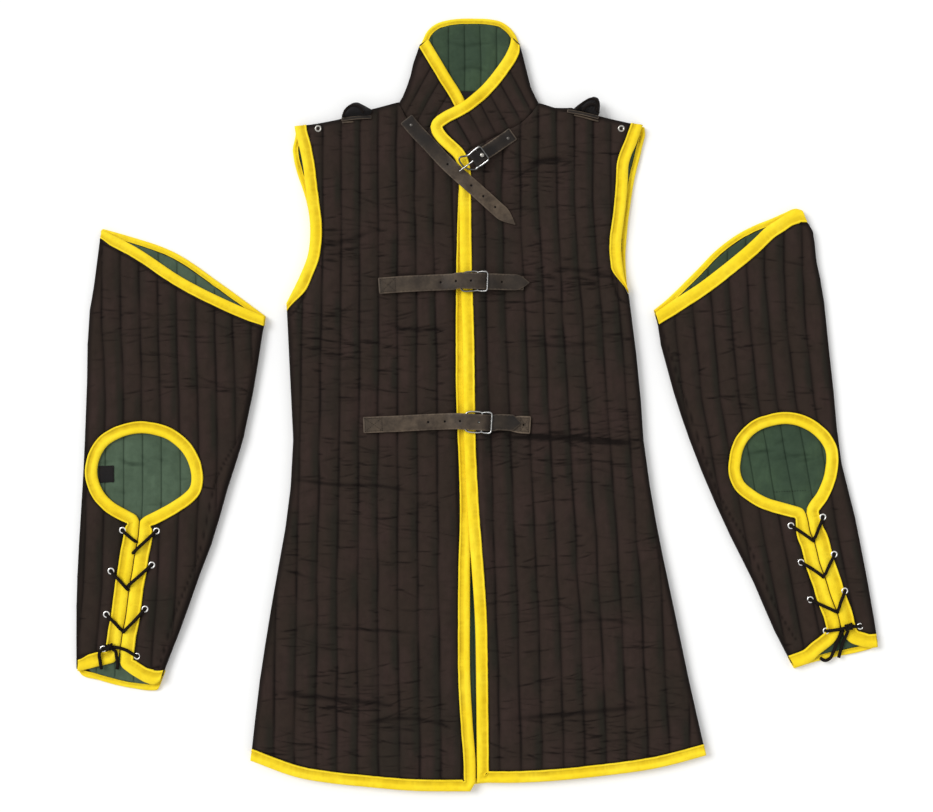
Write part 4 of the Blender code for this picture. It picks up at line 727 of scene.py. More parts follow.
def quiltedPanel(name, stretches, cut, lift=level, mates=()):
    outline, lines = edgesOf(stretches)
    place, seamX, _ = cut["channels"]
    floor, rng = cut["floor"], np.random.default_rng(cut["seed"])
    thinTop = floor + cut["tapeHigh"] - 1.7
    tight = puckers(rng, cut["folds"], outline, seamX, cut["numbers"],
                    cut.get("zones", ()), cut.get("tight", 1.0))
    wider = cut.get("wider", level)

    def surface(points):
        number, seed = place(points), cut["seed"]
        wave = np.abs(np.sin(np.pi * number))
        crown = wave ** cut.get("full", 0.55)
        stuffed = 1 + 0.14 * cloudy(points, 60, 90, seed) + 0.16 * cloudy(points, 28, 14, seed + 3)
        full = floor + cut["seam"] + (cut["crest"] - cut["seam"]) * crown * stuffed
        drawn = np.exp(-(wave / 0.5) ** 2) * crown
        full += 0.55 * drawn * cloudy(points, 11, 4.4, seed + 5)
        full += 0.34 * cloudy(points, 19, 7.5,
                              seed + 7) * crown + 0.16 * cloudy(points, 5.5, 3.2, seed + 11) * crown
        deep, lips = creaseDepth(points, tight)
        deep2, lips2 = lineCreases(points, cut.get("creases", ()))
        full += (lips + lips2) - (deep + deep2)
        uneven = np.clip(0.68 + 0.6 * cloudy(points, 13, 34, seed + 9), 0.25, 1)
        shade = cut.get("line", 0.80) * uneven * np.exp(-(wave / 0.17) ** 2)
        shade += cut.get("soft", 0.20) * np.exp(-(wave / 0.55) ** 2)
        shade += 0.62 * np.clip(deep, 0, 1.3) + 0.55 * np.clip(deep2, 0, 1.6)
        for line, depth, half in cut.get("seamLines", ()):
            far = distanceTo(points, smoothLine(line, 8))
            full -= depth * np.exp(-(far / half) ** 2)
            shade = np.maximum(shade, 0.8 * np.exp(-(far / (half * 0.6)) ** 2))
        return full, np.clip(shade, 0, 0.95)

    def high(points):
        full = surface(points)[0]
        round = np.sqrt(np.clip(1 - (1 - np.clip(nearestOf(points, lines, "seam") / 9, 0, 1)) ** 2, 0, 1))
        full = floor + 2.0 + (full - floor - 2.0) * round
        full -= 2.0 * (1 - ease(nearestOf(points, lines, "join"), 0, 4.5))
        if lines["tape"]:
            rise = ease(nearestOf(points, lines, "tape") - wider(points),
                        tape["wide"] - 0.5, tape["wide"] + 6.5)
            full = np.minimum(full, thinTop + (full - thinTop) * rise)
        return full + lift(points)

    def low(points):
        open = ease(nearestOf(points, lines, "tape"), tape["wide"] + 2, tape["wide"] + 30)
        under = floor - 1.3 * (1 - ease(nearestOf(points, lines, "seam"), 2, 8)) * open
        if lines["tape"]:
            thin = floor + 1.7
            under = under + (thin - under) * (1 - ease(nearestOf(points, lines, "tape"), tape["wide"] + 1,
                                                       tape["wide"] + 6))
        return under + lift(points)

    # painted shade: darker seams and creases, a shadow line beside each binding, darker sewn edges
    def shade(points):
        edge = nearestOf(points, lines, "seam")
        bound = nearestOf(points, lines, "tape") - wider(points) - tape["wide"]
        dark = surface(points)[1] + 0.85 * np.exp(-((bound - 0.6) / 1.7) ** 2)
        return np.clip(np.maximum(dark, 0.9 * (1 - ease(edge, 1.5, 11.0))), 0, 0.95)

    def dusk(points):  # painted shade, greener, on the right of each channel away from the light, and random greener patches here and there
        phase = (place(points) * cut["channels"][2]) % 1.0
        third = ease(phase, 0.5, 0.8) * (1 - ease(phase, 0.95, 1.0))
        patchy = np.clip(0.55 + 0.9 * cloudy(points, 21, 46, cut["seed"] + 13), 0, 1)
        return np.clip(third * patchy + 0.7 * np.clip(cloudy(points, 24, 60, cut["seed"] + 17) - 0.25, 0, 1),
                       0, 1)

    def clear(points, distance):
        return insideOutline(points, outline) & (nearestOf(points, lines, "seam") > distance - 0.3)

    first, last = cut["numbers"]
    inner = channelPoints(outline, seamX, range(first - 1, last + 1),
                          (0.0, 0.05, 0.12, 0.24, 0.38, 0.5, 0.62, 0.76, 0.88, 0.95),
                          cut.get("rowStep", 1.6), 1.6)
    inner = inner[nearestOf(inner, lines, "seam", "join") > 7.6]
    rings = edgeRings(lines, ("seam", "join"), (0.9, 2.2, 4.0, 6.2), 3.0, clear)
    if len(rings):
        inner = np.vstack([inner, rings[distanceTo(rings, closedLine(outline)) > 0.7]])
    under = np.vstack([gridInside(outline, 22.0, 5), edgeRings(lines, ("seam",), (4.0, 8.5), 9.0, clear)])
    piece = wallBetween(name, outline, under, inner, low, high, cut["material"], shade, duskAt=dusk)
    stitchSeams(high, lines, outline, seamX, cut["numbers"])
    layFlat(piece, outline)
    return dress(piece, cut["slot"], *(mates or (name,)))


def tapeSection(high, wideTop, wideLow):
    # (across, height, roll, groove, shade) round the folded tape, from its sewn lip over the fold
    w = wideTop
    over = [(0.989, -2.0, 0, 0, 0.5), (1.0, -1.1, 0.2, 0, 0.12), (0.975, -0.35, 0.8, 0, 0),
            (0.93, 0.0, 1, 0, 0), (0.875, -0.1, 0.8, 0, 0), (0.83, -0.35, 0.1, 0.6, 0.42),
            (0.775, -0.45, 0, 1, 0.55), (0.69, -0.4, 0, 1, 0.49), (0.58, -0.3, 0, 0.9, 0.40),
            (0.47, -0.12, 0, 0.5, 0.18), (0.36, 0.05, 0.1, 0, 0), (0.25, 0.05, 0.1, 0, 0),
            (0.15, -0.3, 0, 0, 0), (0.075, -0.9, 0, 0, 0.10), (0.022, -1.9, 0, 0, 0.25)]
    section = [(share * w, high + z, roll, dip, dark) for share, z, roll, dip, dark in over]
    section += [(0.0, high / 2, 0, 0, 0.4), (0.35, 1.7, 0, 0, 0.4),
                (1.2, 0.6, 0, 0, 0.3), (2.8, 0.05, 0, 0, 0),
                (wideLow * 0.6, 0.0, 0, 0, 0), (wideLow, 0.0, 0, 0, 0),
                (wideLow, 1.1, 0, 0, 0), (5.0, 1.2, 0, 0, 0),
                (1.7, high / 2, 0, 0, 0), (5.0, high - 1.5, 0, 0, 0), (w - 1.0, high - 1.9, 0, 0, 0)]
    return section


def foldedTape(name, edge, floor, high, wideTop, wideLow, lift=level, seed=1, ends=(None, None), plain=1.0,
               wider=level):
    edge = evenLine(edge, tape["step"])
    along = runAlong(edge)
    extra = wider(edge)
    widest = max(wideTop, wideLow) + extra.max()
    lip = offsetLine(edge, widest)
    for end, way in enumerate(ends):  # a cut end follows the seam that it stops at
        if way is None:
            continue
        size = math.hypot(*way)  # a short way gives the end's own length
        way = np.array(way, float) / size
        at, beside = (-1, -2) if end else (0, 1)
        run = (edge[beside] - edge[at]) * (-1 if end else 1)
        left = np.array([-run[1], run[0]]) / math.hypot(*run)
        move = edge[at] + way * min(size, widest / max(way @ left, 0.55)) - lip[at]
        reach = max(26.0, 2.2 * math.hypot(*move))
        far = along[-1] - along if end else along
        lip = lip + move * (1 - ease(far, 0, reach))[:, None]
    rim = tape["rim"] * wideTop / tape["wide"] * plain
    groove = tape["groove"] * wideTop / tape["wide"] * plain
    shy = tape["pucker"] * plain
    section = tapeSection(high, wideTop, wideLow)
    sway = 0.28 * wander(along, 9, seed + 3)
    tick = wander(along, 2.5, seed + 11)
    soft = wander(along, 19, seed + 21)
    columns, shades, across01 = [], [], []
    for index, (across, z, roll, dip, dark) in enumerate(section):
        move = sway if index < 9 else 0
        spread = across * (1 + extra / wideTop) if index < 15 or index == len(section) - 1 else across
        share = np.clip((spread + move) / widest, 0, 1) * np.ones(len(edge))
        place = edge + (lip - edge) * share[:, None]
        top = z + (rim + 0.12 * soft) * roll - groove * dip + shy * tick * (0.4 * roll + 0.6 * dip)
        if 8 < index < 14:
            top = top + 0.22 * soft
        columns.append(np.column_stack([place, floor + top + lift(place)]))
        shades.append(np.clip(dark * (0.55 + 0.45 * plain) * (1 + 0.35 * soft) - 0.11 * tick * dip, 0, 1))
        across01.append(np.full(len(edge), across / widest))
    grid = np.array(columns).transpose(1, 0, 2)
    rings, sides = grid.shape[:2]
    r, s = np.meshgrid(np.arange(rings - 1), np.arange(sides), indexing="ij")
    a, b = (r * sides + s).ravel(), (r * sides + (s + 1) % sides).ravel()
    faces = np.vstack([np.column_stack([a, b, b + sides]), np.column_stack([a, b + sides, a + sides])])
    ends = triangulate(np.array(section)[:, :2], np.empty((0, 2)))[1]
    ends = ends[:, [0, 2, 1]] if twiceArea(np.array(section)[:, :2]) < 0 else ends
    faces = np.vstack([faces, ends[:, [0, 2, 1]], ends + (rings - 1) * sides])
    uv = np.column_stack([np.repeat(along, sides) * 0.001, np.array(across01).T.ravel()])
    piece = putMesh(name, grid.reshape(-1, 3), faces, bindingCloth, np.array(shades).T.ravel(), uv)
    sewn = edge + (lip - edge) * (tape["stitchAt"] * (wideTop + extra) / widest)[:, None]
    stitchLines["tape"].append(np.column_stack([sewn, floor + high - 0.45 - groove + lift(sewn)]))
    sheets.append((piece, (along[-1] * 0.001, (wideTop + wideLow + high + 2) * 0.001), None))
    return dress(piece, "binding", name)


def flatWall(name, stretches, thick, tapeHigh, channels, numbers, slot, seed, drop):
    # the padded back: quilted on its underside, plain inside, thin in its bindings
    outline, lines = edgesOf(stretches)
    place, seamX, _ = channels

    def high(points):
        full = thick - drop * ease(nearestOf(points, lines, "tape", "seam", "join"), 14, 24)
        thin = tapeHigh - 1.7
        return full + (thin - full) * (1 - ease(nearestOf(points, lines, "tape"), tape["inside"] + 1,
                                                tape["inside"] + 7))

    def low(points):
        crown = np.abs(np.sin(np.pi * place(points))) ** 0.45
        groove = 1.7 * (1 - np.minimum(1, crown * 1.12)) + 0.10 * np.clip(cloudy(points, 16, 7, seed), 0, 1)
        lifted = (thick - 2.5) * (1 - np.clip(nearestOf(points, lines, "seam") / 7, 0, 1)) ** 2
        full = np.maximum(lifted, groove)
        return 1.7 + (full - 1.7) * ease(nearestOf(points, lines, "tape"),
                                         tape["wide"] + 1.0, tape["wide"] + 6)

    def shade(points):
        return 0.7 * np.exp(-(np.sin(np.pi * place(points)) / 0.13) ** 2)

    def clear(points, distance):
        return insideOutline(points, outline)

    closed = closedLine(outline)
    inner = channelPoints(outline, seamX, range(*numbers), (0.0, 0.06, 0.16, 0.34, 0.66, 0.84, 0.94), 6.0, 8)
    rings = edgeRings(lines, ("seam",), (1.0, 2.5, 4.5, 7.0), 5.0, clear)
    under = np.vstack([inner, rings[distanceTo(rings, closed) > 0.8]])
    coarse = gridInside(outline, 9.0, 3)
    piece = wallBetween(name, outline, under, coarse, low, high, shellCloth, level, shade)
    layFlat(piece, outline, 1.03)
    return dress(piece, slot, name)


def quiltedLining(name, outline, cut, nodes=()):
    # inner face of the padding: seams and creases over a plain underside
    outline = np.asarray(outline, float)
    closed = closedLine(outline)
    place, seamX, _ = cut["channels"]
    rng = np.random.default_rng(cut["seed"])
    tight = puckers(rng, cut["folds"], outline, seamX, cut["numbers"], (), 0.55)
    top, drop = cut["top"], cut["drop"]

    def surface(points):
        number = place(points)
        crown = np.abs(np.sin(np.pi * number)) ** 0.5
        deep, lips = creaseDepth(points, tight)
        deep2, lips2 = lineCreases(points, cut.get("creases", ()))
        edge = ease(distanceTo(points, closed), 0, 9)
        full = top - drop * (1 - crown) * edge + edge * (0.6 * (lips + lips2) - deep - deep2)
        full += 0.12 * edge * cloudy(points, 19, 8, cut["seed"])
        shade = 0.75 * np.exp(-(np.sin(np.pi * number) / 0.14) ** 2) + 0.5 * np.clip(deep + deep2, 0, 1.7)
        shade += cut.get("dusk", 0.0) * (1 - ease(distanceTo(points, closed), 0, 16))
        return np.clip(full, top - drop - 0.4, top + 0.25), np.clip(shade, 0, 0.9)

    def low(points):
        return top - layers["lining"] - (drop + 0.3) * ease(distanceTo(points, closed), 1, 9)

    inner = channelPoints(outline, seamX, range(*cut["numbers"]),
                          (0.0, 0.06, 0.16, 0.32, 0.5, 0.68, 0.84, 0.94),
                          cut.get("rowStep", 3.0), 1.5)
    coarse = gridInside(outline, 12.0, 3)
    piece = wallBetween(name, outline, coarse, inner, low, lambda p: surface(p)[0], cut["material"],
                        lambda p: surface(p)[1])
    layFlat(piece, outline, 1.02)
    return dress(piece, cut["slot"], *(nodes or (name,)))


def drawnIn(stretches, room):
    kept = []
    for i, (kind, line) in enumerate(stretches):
        moved = evenLine(offsetLine(line, room[kind]), 7)
        clear = np.ones(len(moved), bool)
        for j, (otherKind, other) in enumerate(stretches):
            clear &= distanceTo(moved, other) >= room[otherKind] - (0.5 if i == j else 0.0)
        kept.append(moved[clear])
    return joinStretches(kept)


sheets, stitchLines = [], {"tape": [], "quilt": [], "strap": []}
edgeUnder = np.vstack([smoothLine(collarEdgeRight, 30)[4:], smoothLine(frontEdgeRight, 30)])


def overlapLift(points):  # the left front lies over the right one's edge
    points = np.asarray(points, float)
    order = np.argsort(edgeUnder[:, 1])
    under = np.interp(points[:, 1], edgeUnder[order, 1], edgeUnder[order, 0])
    under = np.where(points[:, 1] > 473, -26.5 - (points[:, 1] - 473) * 0.6, under)
    beyond = 1 - ease(points[:, 0] - under, 9, 42)
    return layers["overlap"] * beyond * (1 - ease(-points[:, 1], 236, 350))


# Fronts
boundRight = np.vstack([smoothLine(hemRight, 4)[::-1], smoothLine(frontEdgeRight, 4)[::-1],
                        smoothLine(collarEdgeRight, 4)[::-1][1:]])
boundLeft = np.vstack([smoothLine(collarEdgeLeft, 4), smoothLine(collarCornerLeft, 3)[1:],
                       smoothLine(frontEdgeLeft, 4)[1:], smoothLine(hemLeft, 4)[1:]])


def stretchOf(line, first, last):
    a = nearestTo(line, first)
    b = nearestTo(line, last)
    return line[a:b + 1]


frontRight = {
    "channels": channelsOf({"y": (308, 82, -292, -502), "first": (-37.5, -32.4, -27.8, -22.2),
                            "pitch": (27.6, 28.8, 30.3, 31.4)}, -1),
    "numbers": (0, 11), "floor": layers["bodyFloor"], "seam": 5.0, "crest": 8.4, "tapeHigh": tape["bodyHigh"],
    "folds": 1250, "seed": 41, "slot": "shell", "material": shellCloth,
    "zones": [(-150, 95, 120, 90, 1.0), (-120, -470, 140, 90, 0.8), (-200, 235, 80, 40, 0.8),
              (-90, -120, 100, 60, 0.6)],
    "creases": [([(-271, -112), (-205, -120), (-150, -121), (-100, -129)], 1.3, 2.6),
                ([(-300, -430), (-220, -440), (-130, -448)], 1.2, 4),
                ([(-250, 235), (-205, 244), (-150, 262)], 1.0, 3.5),
                ([(-140, 122), (-92, 112), (-40, 116)], 1.0, 3),
                ([(-180, -478), (-96, -470), (-36, -482)], 1.1, 3.2),
                ([(-241, -333), (-180, -336), (-90, -342)], 0.9, 2.4),
                ([(-293, -244), (-266, -254), (-241, -262)], 0.9, 2.4)],
}
frontLeft = {
    "channels": channelsOf({"y": (308, 82, -292, -502), "first": (10.8, 15.6, 29.3, 34.0),
                            "pitch": (27.1, 29.1, 31.0, 31.8)}, 1),
    "numbers": (-1, 11), "floor": layers["bodyFloor"], "seam": 5.0, "crest": 8.4,
    "tapeHigh": tape["bodyHigh"],
    "folds": 1250, "seed": 57, "slot": "shell", "material": shellCloth,
    "zones": [(120, -50, 110, 50, 1.0), (150, -480, 150, 80, 0.8), (120, 190, 90, 60, 0.8),
              (60, 330, 60, 40, 0.7)],
    "creases": [([(72, 356), (100, 366), (137, 368)], 2.0, 4.0),
                ([(40, -48), (130, -50), (236, -58)], 1.8, 4.0),
                ([(60, -470), (150, -462), (250, -452)], 1.2, 4.0),
                ([(120, 205), (165, 200), (215, 190)], 1.1, 3.5),
                ([(70, 96), (130, 88), (190, 96)], 0.9, 3.2),
                ([(120, -330), (190, -322), (240, -330)], 0.8, 3)],
}
frontPieces = [quiltedPanel("front_right", [
    ("tape", smoothLine(armholeRight, 22)), ("seam", smoothLine(sideRight, 60)),
    ("tape", evenLine(stretchOf(boundRight, hemRight[-1], frontEdgeRight[0]), 30)),
    ("join", smoothLine(necklineRight, 30)[::-1]), ("seam", smoothLine(shoulderRight, 40)[::-1])],
    frontRight),
    quiltedPanel("front_left", [
    ("tape", np.vstack([evenLine(stretchOf(boundLeft, frontEdgeLeft[4], frontEdgeLeft[-1]), 30),
                        smoothLine(hemLeft, 40)[1:]])),
    ("seam", smoothLine(sideLeft, 60)[::-1]), ("tape", smoothLine(armholeLeft, 22)[::-1]),
    ("seam", smoothLine(shoulderLeft, 40)[::-1]), ("join", smoothLine(necklineLeft, 15))],
    frontLeft, overlapLift)]
print("fronts quilted")

# Back and its lining
backStretches = [
    ("tape", smoothLine(backArmholeRight, 30)), ("seam", smoothLine(sideRight, 60)),
    ("tape", smoothLine(hemBack, 60)),
    ("seam", smoothLine(sideLeft, 60)[::-1]), ("tape", smoothLine(backArmholeLeft, 30)[::-1]),
    ("seam", smoothLine(shoulderLeft, 40)[::-1]), ("join", smoothLine(necklineBack, 40)[::-1]),
    ("seam", smoothLine(shoulderRight, 40)[::-1])]
backChannels = channelsOf({"y": (400, 150, -52, -540), "first": (-12, -14, -13, 0),
                           "pitch": (28, 28, 28, 33.5)}, 1)
flatWall("back", backStretches, layers["bodyBack"], tape["bodyHigh"], backChannels,
         (-12, 13), "shell", 71, 2.6)
quiltedLining("back_lining", drawnIn(backStretches, {"tape": 9.7, "seam": 13, "join": 14}), {
    "channels": backChannels, "numbers": (-12, 13), "top": 9.3, "drop": 1.9, "folds": 300, "seed": 73,
    "rowStep": 5.0, "slot": "lining", "material": liningCloth})
print("back and lining made")

# Collar
collarCut = {"floor": layers["bodyFloor"], "seam": 4.2, "crest": 6.3,
             "tapeHigh": tape["bodyHigh"], "folds": 70,
             "slot": "shell", "material": shellCloth, "numbers": (-8, 9), "full": 0.5}
sideRightLine, sideLeftLine = smoothLine(collarSideRight, 30), smoothLine(collarSideLeft, 30)[::-1]
slantRight = channelsOf({"y": (560, 340), "first": (-12 + 0.55 * -480, -12 + 0.55 * -480), "pitch": (24, 24),
                         "lean": -0.55}, -1)
slantLeft = channelsOf({"y": (560, 340), "first": (-12 + 0.55 * 480, -12 + 0.55 * 480), "pitch": (24, 24),
                        "lean": 0.55}, 1)
frontPieces.append(quiltedPanel("collar_right", [
    ("seam", sideRightLine), ("join", smoothLine(necklineRight, 30)),
    ("tape", evenLine(stretchOf(boundRight, collarEdgeRight[-1], collarEdgeRight[0]), 12))],
    dict(collarCut, seed=83, channels=slantRight)))
frontPieces.append(quiltedPanel("collar_left", [
    ("tape", evenLine(stretchOf(boundLeft, collarEdgeLeft[0], frontEdgeLeft[4]), 8)),
    ("join", smoothLine(necklineLeft, 15)[::-1]), ("seam", sideLeftLine)],
    dict(collarCut, seed=89, channels=slantLeft), overlapLift))
neck, collarTopLine = smoothLine(necklineBack, 40), smoothLine(collarTop, 24)[::-1]
collarChannels = channelsOf({"y": (600, 430), "first": (-19, -19), "pitch": (24, 24)}, 1)
flatWall("collar_back", [("tape", collarTopLine), ("seam", sideRightLine), ("join", neck),
                         ("seam", sideLeftLine)],
         layers["bodyBack"], tape["bodyHigh"], collarChannels, (-6, 6), "shell", 91, 2.6)
fineRight, fineLeft = evenLine(sideRightLine, 6), evenLine(sideLeftLine, 6)
neckTapeTop = 471.0
across = np.array([(np.interp(neckTapeTop, fineRight[::-1, 1], fineRight[::-1, 0]) + 12, neckTapeTop),
                   (np.interp(neckTapeTop, fineLeft[:, 1], fineLeft[:, 0]) - 12, neckTapeTop)])
lowEdge = evenLine(offsetLine(neck, -13), 6)
lowEdge = lowEdge[(lowEdge[:, 0] > neck[0][0] + 22) & (lowEdge[:, 0] < neck[-1][0] - 20)]
quiltedLining("neck_tape", drawnIn([
    ("seam", fineRight[fineRight[:, 1] < neckTapeTop]), ("free", lowEdge),
    ("seam", fineLeft[fineLeft[:, 1] < neckTapeTop]), ("free", across[::-1])], {"seam": 13, "free": 0.0}), {
    "channels": channelsOf({"y": (600, 430), "first": (-400, -400), "pitch": (900, 900)}, 1),
    "numbers": (0, 1),
    "top": 9.3, "drop": 0.4, "folds": 8, "seed": 93, "slot": "shell", "material": neckTapeCloth})
quiltedLining("collar_lining", drawnIn([
    ("tape", collarTopLine), ("seam", fineRight[fineRight[:, 1] > neckTapeTop]), ("free", across),
    ("seam", fineLeft[fineLeft[:, 1] > neckTapeTop])], {"seam": 13, "free": 0.3, "tape": 9.7}), {
    "channels": collarChannels, "numbers": (-6, 6), "top": 9.3, "drop": 2.2, "folds": 40,
    "seed": 97, "rowStep": 2.4,
    "slot": "lining", "material": liningCloth,
    "creases": [([(-50, 548), (-20, 540), (20, 546)], 0.7, 3), ([(-40, 500), (-8, 508), (24, 498)], 0.8, 3)]})
print("collar made")

# Bindings of the body, each with the ways that its two cut ends take
atRight, atLeft, fromRight, fromLeft = (32, 4), (-48, 8), (1, -12), (0.5, -5)
bodyBindings = [
    ("front_right", boundRight, "front", ((14, 122), (-15, -13.5))),
    ("front_left", boundLeft, "front", ((13, -12), (-26, 114))),
    ("armhole_right", smoothLine(armholeRight, 4), "front", (atRight, fromRight)),
    ("armhole_left", smoothLine(armholeLeft, 4)[::-1], "front", (fromLeft, atLeft)),
    ("armhole_right_back", smoothLine(backArmholeRight, 4), "back", (atRight, fromRight)),
    ("armhole_left_back", smoothLine(backArmholeLeft, 4)[::-1], "back", (fromLeft, atLeft)),
    ("hem_back", smoothLine(hemBack, 4), "back", ((13, 119), (-25, 112))),
    ("collar_back", smoothLine(collarTop, 4)[::-1], "back", (None, None)),
]
for number, (label, edge, wallSide, ends) in enumerate(bodyBindings):
    under, wideTop, wideLow = (layers["bodyFloor"], 18, 13) if wallSide == "front" else (0, 9, 18)
    binding = foldedTape("binding_" + label, edge, under, tape["bodyHigh"], wideTop, wideLow,
                         overlapLift if label == "front_left" else level, seed=101 + number, ends=ends)
    if label.startswith("front"):
        frontPieces.append(binding)
print("body bound")

# Loose sleeves: "outer" is the edge away from the body, the hole's table runs once round its edge
sleeveCuts = {
    "right": {
        "outer": [(-564, 264), (-566.5, 250), (-576, 177), (-582, 142), (-586, 38), (-590, -68), (-602, -304),
                  (-602, -396)],
        "inner": [(-318.8, 133), (-323, 108), (-337, 20), (-352, -51), (-375, -124), (-400, -210),
                  (-418, -257), (-433, -300), (-447.5, -340), (-463, -380), (-474, -408), (-476, -414)],
        "head": [(-563.5, 264), (-512, 237), (-440, 190), (-368, 154), (-318.8, 133)],
        "headBack": [(-563.5, 265.5), (-530, 256), (-458, 231), (-386, 183), (-318.8, 134)],
        "headWide": 16.0,
        "cuffOuter": [(-600, -400), (-582, -396), (-566.5, -392), (-553, -389), (-543.5, -385.5),
                      (-538.5, -378)],
        "cuffInner": [(-536, -378), (-536.5, -385), (-534, -393), (-526, -400), (-511, -410), (-495.5, -418),
                      (-484, -420), (-476, -415)],
        "cuffBack": [(-600, -401), (-596, -406.5), (-572, -414), (-543.5, -422), (-515, -427.5),
                     (-492, -430.3), (-482, -429.5), (-476, -416)],
        "hole": [(-507.5, -173), (-512, -166), (-521.7, -160.2), (-547.7, -144.7), (-559, -133.3),
                 (-567, -118), (-570.5, -101), (-568, -84), (-556, -62), (-538, -50.4), (-521.7, -44.7),
                 (-504, -42.5), (-482.7, -45.5), (-466.4, -51.2), (-453.4, -60.2), (-443.6, -69.9),
                 (-435.5, -82.9), (-430.6, -97.6), (-429, -110.6), (-431.4, -123.6), (-440.4, -133.3),
                 (-456.6, -144.7), (-489.2, -162.6), (-499, -167.5), (-506, -173)],
        "slit": [(-507, -174), (-509, -198), (-514, -223), (-518, -250), (-522.5, -275), (-525, -296),
                 (-528.5, -322), (-532.5, -342), (-535, -360), (-537, -374)],
        "grain": {"y": (260, 98, 8, -142, -276, -380), "first": (-480, -478, -475, -475, -480, -489)},
        "tapeEnds": {"opening": ((1, 17.5), (5, 17.2)), "head": ((-1.5, -14.5), (-2.2, -13.5)),
                     "cuff": ((1, 17.5), (5, 17.2))},
        "laces": [[[(-532, -188), (-522, -197), (-512, -205)], [(-481, -189), (-498, -205), (-516, -222)]],
                  [[(-549, -249), (-536, -263), (-524, -277)], [(-488, -240), (-506, -256), (-524, -272)]],
                  [[(-556, -314), (-544, -326), (-532, -339)],
                   [(-498, -306), (-515, -325), (-530.5, -340.5)]]],
        "bow": [(-561, -366), (-550, -363), (-530, -366), (-510, -377)], "knot": (-551, -364),
        "ends": [[(-558, -365), (-564, -368), (-566.3, -374), (-565, -384), (-563.7, -396)],
                 [(-546, -366), (-542, -369), (-540.5, -377), (-539.5, -386), (-541, -397)]],
        "underarm": [(-326, 119), (-336, 51), (-356, -44), (-387, -102), (-417, -222), (-456, -321),
                     (-478, -396)],
        "zones": [(-450, 120, 130, 60, 1.0), (-440, 20, 110, 40, 0.7)],
        # the right sleeve's lining takes the paler lit copy of the lining: painted light
        "lining": litLiningCloth,
        "liningCreases": [([(-538, -81), (-525, -88), (-499, -89)], 1.7, 3.0),
                          ([(-502, -78), (-491, -86)], 1.5, 2.8),
                          ([(-483, -81), (-466, -84)], 1.5, 2.8), ([(-499, -150), (-473, -149)], 1.5, 2.8),
                          ([(-548, -130), (-528, -132)], 1.5, 2.8), ([(-566, -88), (-546, -83)], 1.5, 2.8)],
    },
    "left": {
        "outer": [(489, 293), (490.5, 280), (499, 271), (504.6, 261.5), (507.4, 244.4), (510.3, 215.7),
                  (516, 189), (521.8, 154.4), (527.7, 96), (536, 20), (548, -88), (561.5, -142), (568, -168),
                  (575, -203), (582, -239), (587.5, -268), (592.5, -297), (597, -323), (602, -356)],
        "inner": [(266.5, 143), (268.5, 135), (272, 123), (277, 90), (296, 20), (320, -52), (381, -196),
                  (417, -268), (448, -340), (465.5, -374), (472.5, -387), (478, -395)],
        "head": [(268, 139), (290, 154.5), (309.5, 167), (332.5, 182), (359, 202), (386, 223.5), (405, 239.5),
                 (420.5, 254), (434, 267), (453, 279.5), (468, 289), (482.5, 294.5), (489, 292)],
        "headBack": [(266.5, 143), (281, 154.5), (300, 172), (319, 191), (336, 208), (355, 228),
                     (374.5, 244.5), (397.5, 260), (420.5, 271.5), (443, 280.5), (462.5, 289), (481.6, 296),
                     (489, 294)],
        "headWide": 20.0,
        "cuffOuter": [(602, -364), (588.8, -365), (575, -362), (561, -357), (553, -349), (548.8, -338)],
        "cuffInner": [(545.5, -338), (544, -343), (540.5, -351), (535.4, -358), (527, -365), (516.5, -373),
                      (503, -385), (478, -395)],
        "cuffBack": [(478, -397), (506, -388), (540.6, -379.5), (575, -372.5), (592, -368), (602, -364)],
        "hole": [(493.8, -160), (487.4, -154.8), (479, -152), (454, -145), (440, -141), (416.6, -128.4),
                 (400, -113.2), (395.3, -97), (396.5, -82.7), (398.6, -71.6), (408.3, -52.1), (422.2, -39.7),
                 (447.2, -30.6), (462.4, -28.6), (476.3, -30), (490.2, -34.8), (501.3, -41), (511, -49.4),
                 (517.9, -57.7), (523.5, -68.8), (524.8, -81.3), (523.5, -93.8), (521.4, -106.2),
                 (516.5, -120), (509.6, -134), (501.3, -145), (495.7, -155), (494.2, -160)],
        "slit": [(494.5, -163), (497, -172), (501, -192), (507, -206), (510.5, -219), (514.5, -236),
                 (521, -254), (525.5, -267), (530.5, -284), (535.5, -297.5), (540.5, -310), (544, -322),
                 (546.5, -334)],
        "grain": {"y": (200, 98, 8, -142, -290, -360), "first": (432, 440, 450, 477, 504, 518)},
        "tapeEnds": {"opening": ((-10.5, 18.3), (-2.5, 20.5)), "head": ((7, -18), (5.5, -18)),
                     "cuff": ((-10.5, 18.3), (-2.5, 20.5))},
        "laces": [[[(471, -181), (488, -192), (505, -204)], [(519, -168), (512, -186), (504, -203)]],
                  [[(486, -236), (503, -246), (520, -258)], [(536, -224), (528, -241), (519, -258)]],
                  [[(500, -292), (519, -301), (541, -311)], [(552, -279), (546, -294), (540, -310)]]],
        "bow": [(524, -339), (545, -336), (562, -332), (575, -332)], "knot": (557, -333),
        "ends": [[(556.5, -338), (552.5, -348), (548, -363), (544, -380)],
                 [(549.5, -338), (545.5, -347), (540.5, -358), (535.5, -371.5), (531, -381), (523.4, -384.5),
                  (516.5, -380.5)]],
        "underarm": [(276, 118), (296, 60), (332, -50), (365, -137), (411, -218), (446, -298), (478, -352)],
        "zones": [(400, 95, 110, 40, 1.0), (430, 10, 110, 50, 0.9)],
        "lining": liningCloth,
        "liningCreases": [([(408, -74), (426, -70), (447, -69)], 1.5, 2.8),
                          ([(447, -59), (465, -52)], 1.5, 2.8),
                          ([(463, -72), (472, -76), (496, -74)], 1.5, 2.8),
                          ([(448, -83), (468, -79)], 1.5, 2.8),
                          ([(486, -84), (508, -81)], 1.5, 2.8)],
        "sewn": [(447, -131), (494, -128.5)],
    },
}


